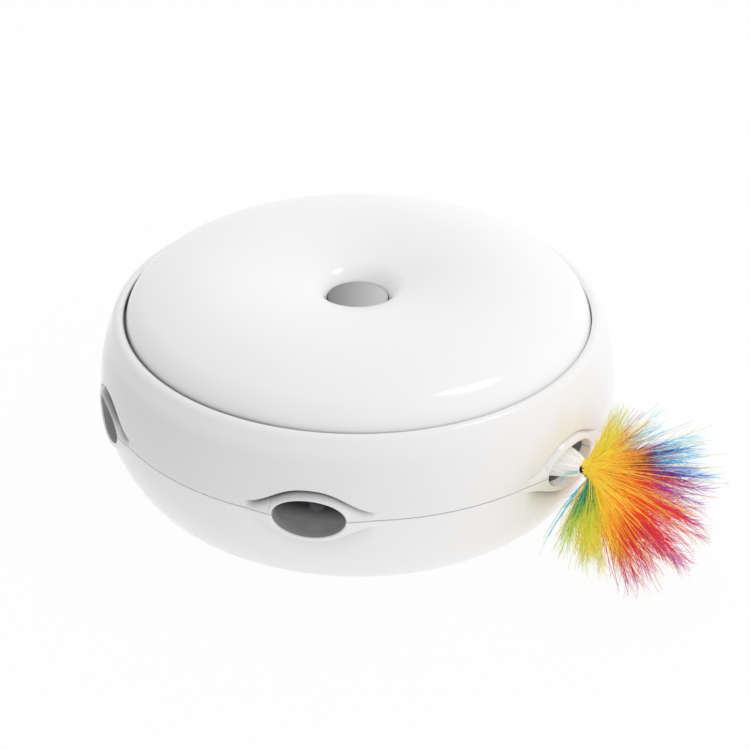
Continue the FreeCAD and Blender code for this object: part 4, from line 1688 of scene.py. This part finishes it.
PLUMES = (
    Plume((0.06, 0.53, 0.84), 27.0,
          "0 f8e254 .5 ecdc3c .75 d4d64c 1 bcd084",
          6, 0.06, 0.6, 1.5),
    Plume((0.22, 0.62, 0.75), 25.0,
          "0 f8e254 .3 ecd864 .6 dedcaa 1 c4e0e4",
          3, 0.1, 0.5, 3.0),
    Plume((0.45, 0.64, 0.62), 28.0,
          "0 f8e254 .42 d83834 .7 c03068 1 bc5ca8",
          3, 0.05, 0.45, 5.0),
    Plume((0.59, 0.68, 0.44), 35.0,
          "0 f8e254 .42 ecd24c .58 dedca0 .72 8cd4e4 1 8cdcee",
          5, 0.1, 0.8, 7.0),
    Plume((0.73, 0.62, 0.3), 42.0,
          "0 f8e254 .3 eea430 .42 dc5c2c .51 8040a0 .58 52a6dc .68 60cce8 1 a8e0ee",
          6, 0.08, 0.8, 7.0),
    Plume((0.83, 0.53, 0.18), 47.0,
          "0 f8e254 .3 e69428 .4 6c1620 .5 3c1c70 .58 4a44c8 .68 60c8e8 1 a8e0f0",
          5, 0.06, 0.85, 7.0),
    Plume((0.9, 0.44, 0.0), 48.0,
          "0 f8e254 .28 ee9028 .42 c02430 .54 5a28b0 .67 7058d8 .78 6cc8e8 1 acdff0",
          5, 0.08, 0.9, 7.0),
    Plume((0.94, 0.31, -0.13), 49.0,
          "0 f8e254 .3 f08c28 .46 e8402c .62 cc286c .8 9038b4 1 c490d0",
          6, 0.09, 0.9, 7.0),
    Plume((0.92, 0.22, -0.32), 48.0,
          "0 f8e254 .28 f29428 .43 ee5028 .63 de2c44 .82 c4348c 1 c888c0",
          7, 0.09, 1.0, 7.0),
    Plume((0.88, 0.06, -0.47), 47.0,
          "0 f8e254 .28 f29628 .43 f06028 .63 e23038 .83 cc3484 1 bc50ac",
          8, 0.09, 1.0, 7.0),
    Plume((0.81, -0.09, -0.58), 45.0,
          "0 f8e254 .3 f49c28 .43 ee6a28 .62 dc3430 .82 c82c70 1 c054a0",
          8, 0.09, 1.0, 7.0),
    Plume((0.69, -0.2, -0.7), 42.0,
          "0 f8e254 .4 f4ac30 .53 ee7828 .7 dc3e30 .88 c8306c 1 bc54a0",
          6, 0.09, 1.0, 7.0),
    Plume((0.55, -0.31, -0.78), 37.0,
          "0 f8e254 .55 f0d43c .8 e8d448 1 e4d880",
          7, 0.1, 0.9, 7.0),
    Plume((0.4, -0.5, -0.77), 34.0,
          "0 ece044 .45 e8d440 .7 d6d448 .88 dce090 1 a8d8e4",
          6, 0.1, 0.85, 7.0),
    Plume((0.51, -0.75, -0.43), 33.0,
          "0 0c7470 .22 18907c .36 5cac50 .55 c4d240 .85 dcd848 1 e0e0a0",
          6, 0.11, 0.75, 9.0),
    Plume((0.24, -0.7, -0.67), 31.0,
          "0 2aa494 .2 7cbc4c .4 d0d43c .8 ccd46c 1 d0e0bc",
          4, 0.12, 0.75, 7.0),
    Plume((0.17, -0.87, -0.47), 32.0,
          "0 209e98 .3 4cb8a0 .55 a8c45c 1 c0dab0",
          3, 0.1, 0.5, 7.0),
    Plume((0.03, -0.97, -0.26), 37.0,
          "0 28a4b0 .4 4cbccc .8 8cd0dc 1 acd8dc",
          1, 0.09, 0.45, 9.0),
    Plume((0.96, -0.27, 0.03), 37.0,
          "0 f8e254 .5 f6d040 .75 f2b838 1 f0a83c",
          6, 0.2, 0.42, 7.0),
    Plume((0.85, -0.47, -0.23), 33.0,
          "0 f8e254 .6 f4d840 .85 f2c438 1 f0b038",
          5, 0.18, 0.45, 7.0),
    Plume((0.89, 0.01, 0.45), 25.0,
          "0 f8e254 .55 f4d440 .8 f0a434 1 e8702c",
          4, 0.2, 0.8, 7.0),
    Plume((0.54, 0.42, 0.73), 21.0,
          "0 f8e254 .6 f4d840 .85 ecd44c 1 e8c040",
          5, 0.16, 0.85, 4.0),
    Plume((0.98, 0.16, -0.06), 46.0,
          "0 f8e254 .45 f0a030 .68 f0b848 1 ecd890",
          2, 0.05, 0.4, 7.0),
    Plume((0.48, 0.53, -0.7), 45.0,
          "0 eec43a .3 f08028 .5 e23c30 .75 c82868 1 ac44a0",
          7, 0.18, 0.9, 7.0),
    Plume((0.36, 0.93, -0.07), 40.0,
          "0 eec43a .35 e8903a .5 a03878 .68 60a0e0 1 7cd4ec",
          5, 0.16, 0.9, 7.0),
    Plume((0.19, -0.08, -0.98), 37.0,
          "0 ecdc44 .4 e6d444 .7 d0d44c 1 d8e09c",
          5, 0.16, 0.85, 7.0),
)

# The loose strands that stay golden, and the plumes of each piece of barbs, as first and last
GOLD = Plume((1.0, 0.0, 0.0), 48.0, "0 f4d048 0.5 f6c850 1 f0d080", 0)
SPRAYS = PLUMES + (GOLD,)
GROUPS = ((0, 8), (8, 12), (12, 20), (20, len(PLUMES)))

# What the trees are given for each piece
WHITE_STRANDS = {"Thickness": 0.26 * MM, "Tip Share": 0.8, "Waver": 0.5 * MM, "Ripple": 120.0}
DYED_STRANDS = {"Thickness": 0.14 * MM, "Tip Share": 0.7, "Waver": 0.5 * MM, "Ripple": 90.0}
SHAFTS = {"Thickness": 0.2 * MM, "Tip Share": 0.3, "Waver": 3.0 * MM, "Ripple": 50.0}
BARBS = {"Spacing": 0.36 * MM, "Barb Length": 17.0 * MM, "Thickness": 0.16 * MM, "Lean": 0.3,
         "Waver": 2.4 * MM, "Droop": 0.2 * MM}


@dataclass
class Feather:
    """The stem's strands, the tie, and the tuft of dyed plumes."""

    wardrobe: Wardrobe
    housing: Housing
    tie_x: float = 90.1
    tie_length: float = 3.2
    tie_inset: float = 0.3
    tie_turns: int = 5
    tie_radius: float = 1.5
    level: float = 33.7
    stem_start: float = 60.2
    stem_radius: float = 0.75
    bundle_start: float = 73.8
    bundle_lap: float = 0.9
    bundle_wide: float = 6.6
    bundle_narrow: float = 2.5
    bundle_sag: float = 1.0
    strands: int = 230
    strand_steps: int = 8
    dyed_strands: int = 3
    shaft_steps: int = 16
    shaft_share: Pair = (0.6, 0.88)
    foot_ring: Pair = (1.1, 2.1)
    bow_most: float = 0.16
    droop_most: float = 0.06
    wild_to_shaft: int = 3
    wild_spread: float = 1.6
    wild_reach: float = 1.08
    x_most: float = 132.2
    floor: float = 1.2
    soft_end: float = 3.0
    clear: float = 0.7
    near_clear: float = 1.3
    near_size: Pair = (16.0, 8.0)
    throat: float = 3.2
    guarded: float = 20.0
    skin_top: float = 38.0
    tint_swing: float = 0.26
    fleck_swing: float = 0.14
    patch_swing: float = 0.12
    patch_size: float = 7.0
    light_low: float = 0.66
    light_swing: float = 0.72
    strand_wave: float = 0.12
    strand_scatter: float = 2.5
    strand_twist: float = 0.3
    bundle_flat: float = 1.25
    gathered: float = 0.8
    tie_ridge: float = 0.16
    tie_round: float = 0.5
    turn_rows: int = 8
    seed: int = 41

    def _line(self, mesh: bmesh.types.BMesh, strand: Strand) -> None:
        """Add one line of edges, with the numbers that colour it and size its barbs.

        Args:
            mesh: the mesh to add to.
            strand: the line.
        """
        points, plume, tint = strand
        numbers = {"plume": plume, "tint": tint, "fluff": SPRAYS[int(plume)].barb}
        layers = [mesh.verts.layers.float.get(name) or mesh.verts.layers.float.new(name)
                  for name in numbers]
        last = None
        for point in points:
            spot = mesh.verts.new(point * MM)
            for layer, number in zip(layers, numbers.values()):
                spot[layer] = number
            if last is not None:
                mesh.edges.new((last, spot))
            last = spot

    def _seedling(self, lines: list[Strand]) -> bpy.types.Mesh:
        """Make a mesh of bare lines.

        Args:
            lines: the lines.

        Returns:
            The mesh.
        """
        drawn = bmesh.new()
        for line in lines:
            self._line(drawn, line)
        mesh = bpy.data.meshes.new("lines")
        drawn.to_mesh(mesh)
        drawn.free()
        return mesh

    def _shaft(self, plume: Plume, chance: random.Random, stretch: float) -> list[Vector]:
        """One drooping, slightly wandering line from the tie outwards.

        Args:
            plume: the plume that it belongs to.
            chance: where its random numbers come from.
            stretch: how much longer it is than the plume's own shafts.

        Returns:
            The line's points.
        """
        heading = Vector(plume.heading).normalized()
        away = Vector([chance.gauss(0, 1) for _ in range(3)])
        heading = (heading + (away - heading * away.dot(heading)) * plume.spread).normalized()
        round_tie = Vector((0.0, heading.y, heading.z)).normalized()
        round_tie = round_tie * chance.uniform(*self.foot_ring)
        upward = max(0.0, min(1.0, heading.z * 0.9 + heading.y * 0.5 + 0.35))
        start_x = self.tie_x + self.tie_length * blend(0.92, -0.1, upward)
        spot = Vector((start_x, 0.0, self.level)) + round_tie
        reach = plume.reach * stretch * chance.uniform(*self.shaft_share)
        side = heading.cross(UP)
        bow = chance.uniform(-self.bow_most, self.bow_most)
        droop = chance.uniform(0.0, self.droop_most)
        points = [spot]
        for index in range(self.shaft_steps):
            share = index / self.shaft_steps
            lead = OUT.lerp(heading, min(1.0, share * plume.turn + 0.3))
            lead = (lead + side * bow * share * 2.2 - UP * droop * share * 2.5).normalized()
            spot = spot + lead * (reach / self.shaft_steps)
            points.append(spot)
        return points

    def _settled(self, spots: np.ndarray) -> np.ndarray:
        """Move places clear of the housing, the floor and the furthest reach.

        Args:
            spots: rows of places in millimetres, which are changed.

        Returns:
            The same rows.
        """
        home = self.housing
        levels = np.linspace(home.foot - home.parting, self.skin_top, 200)
        radii = np.array([home.flank(level) for level in levels])
        height = spots[:, 2] - home.parting
        skin = np.interp(np.clip(height, levels[0], levels[-1]), levels, radii)
        wide, high = self.near_size
        near = np.exp(-(spots[:, 1] / wide) ** 2) * np.exp(-(height / high) ** 2)
        need = skin + self.clear + near * self.near_clear
        flat = np.hypot(spots[:, 0], spots[:, 1])
        outer = spots[:, 0] > self.tie_x - self.guarded
        push = np.where((flat < need) & outer, need - flat, 0.0)
        push[(np.abs(spots[:, 1]) < self.throat)
             & (np.abs(spots[:, 2] - self.level) < self.throat)] = 0.0
        spots[:, :2] += push[:, None] * spots[:, :2] / flat[:, None]
        soft = self.soft_end
        low = spots[:, 2] < self.floor + soft
        spots[low, 2] = self.floor + soft * np.exp((spots[low, 2] - self.floor - soft) / soft)
        far = spots[:, 0] > self.x_most - soft
        spots[far, 0] = self.x_most - soft * np.exp((self.x_most - soft - spots[far, 0]) / soft)
        return spots

    def _colours(self, mesh: bpy.types.Mesh, spots: np.ndarray) -> np.ndarray:
        """Colour each strand by its distance from the tie.

        Args:
            mesh: the tuft's mesh, for the numbers that its points carry.
            spots: rows of its places in millimetres.

        Returns:
            Rows of colours.
        """
        tie = np.array([self.tie_x + 2.0, 0.0, self.level])
        reach = np.linalg.norm(spots - tie, axis=1)
        number = np.rint(self._read(mesh, "plume", 0.0)).astype(int)
        tint = self._read(mesh, "tint", 0.5)
        fleck = self._read(mesh, "fleck", 0.5)
        patch = np.array([noise.noise(Vector(spot) / self.patch_size) for spot in spots])
        shift = ((tint - 0.5) * self.tint_swing, (fleck - 0.5) * self.fleck_swing,
                 patch * self.patch_swing)
        colours = np.ones((len(spots), 4))
        for index, spray in enumerate(SPRAYS):
            mine = number == index
            share = reach[mine] / spray.reach + shift[0][mine] + shift[1][mine] + shift[2][mine]
            places, dyes = spray.stops()
            for channel in range(3):
                colours[mine, channel] = np.interp(share, places, dyes[:, channel])
        light = self.light_low + self.light_swing * fleck
        colours[:, :3] = np.clip(colours[:, :3] * light[:, None], 0.0, 1.0)
        return colours

    def _dye(self, mesh: bpy.types.Mesh) -> None:
        """Settle the tuft's places and keep its dye on its points.

        Args:
            mesh: the tuft's mesh, which is changed.
        """
        spots = self._settled(places_of(mesh))
        colours = self._colours(mesh, spots).astype(np.float32)
        mesh.vertices.foreach_set("co", (spots * MM).ravel())
        layer = mesh.attributes.new("dye", "FLOAT_COLOR", "POINT")
        layer.data.foreach_set("color", colours.ravel())
        mesh.update()

    @staticmethod
    def _read(mesh: bpy.types.Mesh, name: str, usual: float) -> np.ndarray:
        """Read a number for each point.

        Args:
            mesh: the mesh.
            name: the number's name.
            usual: the number where the mesh has none.

        Returns:
            The numbers.
        """
        values = np.full(len(mesh.vertices), usual, dtype=np.float32)
        layer = mesh.attributes.get(name)
        if layer is not None and layer.domain == "POINT":
            layer.data.foreach_get("value", values)
        return values

    def _tuft(self, strands: StrandTree, barbs: BarbTree) -> list[bpy.types.Object]:
        """Make the plumes, and the few dyed strands along the stem.

        Args:
            strands: the tree for shafts and loose strands.
            barbs: the tree for barbs.

        Returns:
            The strands along the stem, four pieces of barbs, and the shafts.
        """
        chance = random.Random(self.seed)
        material = self.wardrobe.material(Finish.feather_soft)
        shafts: list[Strand] = []
        wilds: list[Strand] = []
        for index, plume in enumerate(PLUMES):
            for _ in range(plume.shafts):
                shafts.append((self._shaft(plume, chance, 1.0), float(index), chance.random()))
            loose = replace(plume, spread=plume.spread * self.wild_spread)
            for turn in range(plume.shafts * self.wild_to_shaft):
                gold = turn % self.wild_to_shaft == 0 and plume.heading[2] < 0.2
                wilds.append((self._shaft(loose, chance, self.wild_reach),
                              float(len(PLUMES) if gold else index), chance.random()))
        plan = [("stem_dyed_strands", strands, self._dyed_lines(chance), DYED_STRANDS)]
        plan += [(f"plume_barbs_{number}", barbs,
                  [line for line in shafts if first <= line[1] < last], BARBS)
                 for number, (first, last) in enumerate(GROUPS, 1)]
        plan.append(("plume_shafts", strands, shafts + wilds, SHAFTS))
        made = [piece_of(name, tree.grow(name, self._seedling(lines), material, sizes))
                for name, tree, lines, sizes in plan]
        for piece in made:
            self._dye(piece.data)
            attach(piece, "feather_arm")
            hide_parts("feather_tuft")
        return made

    def _dyed_lines(self, chance: random.Random) -> list[Strand]:
        """The lines of the few dyed strands that lie along the stem.

        Args:
            chance: where the tints come from.

        Returns:
            The lines, in the dye of the plume that has one shaft.
        """
        dye = next(float(index) for index, plume in enumerate(PLUMES) if plume.shafts == 1)
        lines = []
        for index in range(self.dyed_strands):
            side = Vector((0.0, -1.15, -0.05 - 0.18 * index))
            points = [self._bundle_spot(share) + side * self._bundle_reach(share) * 0.84
                      for share in (0.0, 0.2, 0.4, 0.6, 0.8, 1.0)]
            lines.append((points, dye, chance.random()))
        return lines

    def _bundle_spot(self, share: float) -> Vector:
        """The middle of the stem's bundle at a share of the way to the tie."""
        return Vector((blend(self.bundle_start, self.tie_x + self.bundle_lap, share), 0.0,
                       self.level - self.bundle_sag * (1 - share)))

    def _bundle_reach(self, share: float) -> float:
        """The bundle's half-width at a share of the way to the tie."""
        return blend(self.bundle_wide, self.bundle_narrow, share ** 2.0)

    def _white_line(self, index: int, chance: random.Random) -> Strand:
        """One fine white strand of the stem's bundle.

        Args:
            index: the strand's number.
            chance: where its random numbers come from.

        Returns:
            The line.
        """
        turn, out = chance.uniform(0, 2 * math.pi), math.sqrt(chance.random())
        points = []
        for step in range(self.strand_steps + 1):
            share = step / self.strand_steps
            wide = self._bundle_reach(share) * out
            wide *= 1 + self.strand_wave * math.sin(3 * share + index)
            if step == self.strand_steps:
                wide *= self.gathered
            start = self.bundle_start - chance.uniform(0, self.strand_scatter) * (1 - share)
            flat = blend(self.bundle_flat, 1.0, share)
            angle = turn + share * self.strand_twist
            points.append(Vector((blend(start, self.tie_x + self.bundle_lap, share),
                                  flat * wide * math.cos(angle),
                                  self._bundle_spot(share).z + wide / flat * math.sin(angle))))
        return points, 0.0, chance.random()

    def _stem(self, strands: StrandTree) -> list[bpy.types.Object]:
        """Make the stem: a quill in the arm's socket, wrapped in a fan of fine white strands.

        Args:
            strands: the tree for the strands.

        Returns:
            The quill and the strands.
        """
        chance = random.Random(self.seed + 1)
        core = lathe_along(self.level, [
            (self.stem_start, 0.0), (self.stem_start, self.stem_radius),
            (self.bundle_start, self.stem_radius + 0.05), (self.tie_x, self.stem_radius),
            (self.tie_x, 0.0)], 20)
        lines = [self._white_line(index, chance) for index in range(self.strands)]
        mesh = strands.grow("stem_strands", self._seedling(lines),
                            self.wardrobe.material(Finish.quill_clear), WHITE_STRANDS)
        bundle = piece_of("stem_strands", mesh)
        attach(bundle, "feather_arm")
        stem = piece_of("stem_quill", closed_mesh("stem_quill", [core]))
        self.wardrobe.dress(stem, Finish.quill_clear)
        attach(stem, "feather_arm")
        for piece in (bundle, stem):
            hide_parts("feather_quill")
        return [stem, bundle]

    def _tie(self) -> bpy.types.Object:
        """Make the dark band, wound in close turns; its black is the binding's own and also stands
        in for the shade where the plumes meet.

        Returns:
            The band.
        """
        start, end = self.tie_x + self.tie_inset, self.tie_x + self.tie_length - self.tie_inset
        rows = self.tie_turns * self.turn_rows
        outline = [(start, 0.0)]
        for index in range(rows + 1):
            share = index / rows
            ridge = self.tie_ridge * abs(math.sin(math.pi * self.tie_turns * share))
            outline.append((blend(start, end, share),
                            self.tie_radius + ridge - self.tie_round * (2 * share - 1) ** 6))
        outline.append((end, 0.0))
        core = lathe_along(self.level, outline, 40)
        tie = piece_of("tie_winding", closed_mesh("tie_winding", [core]))
        self.wardrobe.dress(tie, Finish.tie_black)
        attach(tie, "feather_arm")
        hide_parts("quill_tie")
        return tie

    def build(self) -> list[bpy.types.Object]:
        """Make the stem, the tie and the tuft."""
        strands, barbs = StrandTree(), BarbTree()
        return self._stem(strands) + [self._tie()] + self._tuft(strands, barbs)


# Mechanism


@dataclass
class Mechanism:
    """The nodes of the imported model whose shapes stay, with their finishes."""

    wardrobe: Wardrobe
    finishes: dict[str, Finish] = field(default_factory=lambda: {
        "rubber_feet": Finish.foot_rubber, "battery_door": Finish.door_white,
        "door_screw": Finish.screw_steel, "batteries": Finish.cell_wrap,
        "battery_contacts": Finish.contact_nickel, "gear_deck": Finish.deck_grey,
        "deck_screws": Finish.screw_coated, "drive_motor": Finish.motor_steel,
        "motor_pinion": Finish.pinion_brass, "first_gear": Finish.gear_plastic,
        "second_gear": Finish.gear_plastic, "gear_axles": Finish.screw_steel,
        "centre_column": Finish.door_white, "thrust_washer": Finish.gear_plastic,
        "turntable_bush": Finish.gear_plastic, "turntable": Finish.deck_grey,
        "sun_gear": Finish.gear_plastic, "planet_axle": Finish.screw_steel,
        "planet_gear": Finish.gear_plastic, "feather_holder": Finish.deck_grey,
        "button_housing": Finish.door_white, "circuit_board": Finish.board_green,
        "tact_switch": Finish.switch_black, "ribbon_cable": Finish.cable_grey})

    def build(self) -> list[bpy.types.Object]:
        """Dress the nodes.

        Returns:
            The nodes.
        """
        for node, finish in self.finishes.items():
            self.wardrobe.dress_node(node, finish)
        return [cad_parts[node] for node in self.finishes]


# Studio


@dataclass
class Studio:
    """The camera, the soft lights, the floor and the surroundings."""

    target: Point = (0.0, 0.0, 0.036)
    azimuth: float = 39.86
    elevation: float = 31.12
    distance: float = 0.6
    lens: float = 84.96
    sensor: float = 36.0
    shift: Pair = (0.0228, -0.0136)
    floor_reach: float = 4.0
    lamp_bearing: float = 45.0
    lamp_height: float = 60.6
    lamp_size: Pair = (0.38, 0.46)
    lamp_power: float = 1.3
    lamp_distance: float = 1.33
    room_dark: str = "505050"
    room_light: str = "ffffff"
    room_slope: Point = (1.0, 1.22, 0.84)
    room_strength: float = 1.03
    floor_share: float = 0.8
    floor_seen: float = 0.15

    def camera(self) -> None:
        """Stand the camera at the photograph's place."""
        turn, lift = math.radians(self.azimuth), math.radians(self.elevation)
        back = Vector((math.sin(turn) * math.cos(lift), -math.cos(turn) * math.cos(lift),
                       math.sin(lift)))
        data = bpy.data.cameras.new("studio_camera")
        data.lens, data.sensor_width = self.lens, self.sensor
        data.shift_x, data.shift_y = self.shift
        data.clip_start, data.clip_end = 0.01, 50.0
        camera = bpy.data.objects.new("studio_camera", data)
        camera.location = Vector(self.target) + back * self.distance
        camera.rotation_euler = back.to_track_quat("Z", "Y").to_euler()
        bpy.context.scene.collection.objects.link(camera)
        bpy.context.scene.camera = camera

    def lamp(self) -> None:
        """Hang the one soft light, which faces the toy."""
        turn, lift = math.radians(self.lamp_bearing), math.radians(self.lamp_height)
        way = Vector((math.cos(turn) * math.cos(lift), math.sin(turn) * math.cos(lift),
                      math.sin(lift)))
        data = bpy.data.lights.new("round_softbox", "AREA")
        data.shape, data.energy = "ELLIPSE", self.lamp_power
        data.size, data.size_y = self.lamp_size
        lamp = bpy.data.objects.new("round_softbox", data)
        lamp.location = Vector(self.target) + way * self.lamp_distance
        lamp.rotation_euler = way.to_track_quat("Z", "Y").to_euler()
        bpy.context.scene.collection.objects.link(lamp)

    @staticmethod
    def _seen(graph: Graph) -> Term:
        """One for the rays that show the background, to the camera, in gloss or through glass."""
        path = graph.make("ShaderNodeLightPath", out="Is Camera Ray")
        return path.most(path.other("Is Glossy Ray")).most(path.other("Is Transmission Ray"))

    def surroundings(self) -> None:
        """Set a white view for the camera and a soft grey room for the light."""
        world = bpy.data.worlds.new("studio_world")
        world.use_nodes = True
        world.node_tree.nodes.clear()
        graph = Graph(world.node_tree)
        way = graph.make("ShaderNodeTexCoord", out="Generated")
        across = graph.make("ShaderNodeSeparateXYZ", sockets={0: way})
        slope = self.room_slope
        side = (across * slope[0] + across.other("Y") * slope[1]
                + across.other("Z") * slope[2] + 1.0).held()
        room = graph.make("ShaderNodeMix", {"data_type": "RGBA"}, {
            0: side, 6: paint(self.room_dark), 7: paint(self.room_light)}, out=2)
        soft = graph.make("ShaderNodeBackground",
                          sockets={"Color": room, "Strength": self.room_strength})
        white = graph.make("ShaderNodeBackground",
                           sockets={"Color": paint("ffffff"), "Strength": 1.0})
        both = graph.make("ShaderNodeMixShader",
                          sockets={0: self._seen(graph), 1: soft, 2: white})
        graph.make("ShaderNodeOutputWorld", sockets={"Surface": both})
        bpy.context.scene.world = world

    def floor(self) -> None:
        """Lay a pale floor that shows white and keeps a light shadow."""
        disc = bmesh.new()
        bmesh.ops.create_circle(disc, cap_ends=True, segments=96, radius=self.floor_reach)
        mesh = bpy.data.meshes.new("studio_floor")
        disc.to_mesh(mesh)
        disc.free()
        floor = piece_of("studio_floor", mesh)
        shader = Shader("floor_paper")
        paper = shader.mix(paint("f4f4f4"), paint("efefef"), shader.clouds(60.0, 3.0))
        lit = shader.make("ShaderNodeBsdfDiffuse", sockets={"Color": paper})
        glow = shader.make("ShaderNodeEmission",
                           sockets={"Color": paint("ffffff"), "Strength": 1.0})
        share = (self._seen(shader) * self.floor_seen + self.floor_share).held()
        both = shader.make("ShaderNodeMixShader", sockets={0: share, 1: lit, 2: glow})
        shader.make("ShaderNodeOutputMaterial", sockets={"Surface": both})
        mesh.materials.append(shader.material)

    def build(self) -> None:
        """Set up the studio."""
        self.camera()
        self.surroundings()
        self.lamp()
        self.floor()
        bpy.context.scene.view_settings.view_transform = "Standard"


def report(group: str, pieces: Iterable[bpy.types.Object]) -> None:
    """Log each piece of a sub-assembly."""
    for piece in pieces:
        LOG.info("%s: %s, %d faces", group, piece.name, len(piece.data.polygons))


def main() -> None:
    """Build the studio and the sub-assemblies in order."""
    logging.basicConfig(level=logging.INFO, format="%(name)s: %(message)s")
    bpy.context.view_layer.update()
    Studio().build()
    wardrobe = Wardrobe()
    housing = Housing(wardrobe)
    report("housing", housing.build())
    report("cover", Cover(wardrobe).build())
    report("button", ButtonUnit(wardrobe).build())
    report("mechanism", Mechanism(wardrobe).build())
    report("feather", Feather(wardrobe, housing).build())


if __name__ == "__main__":
    main()
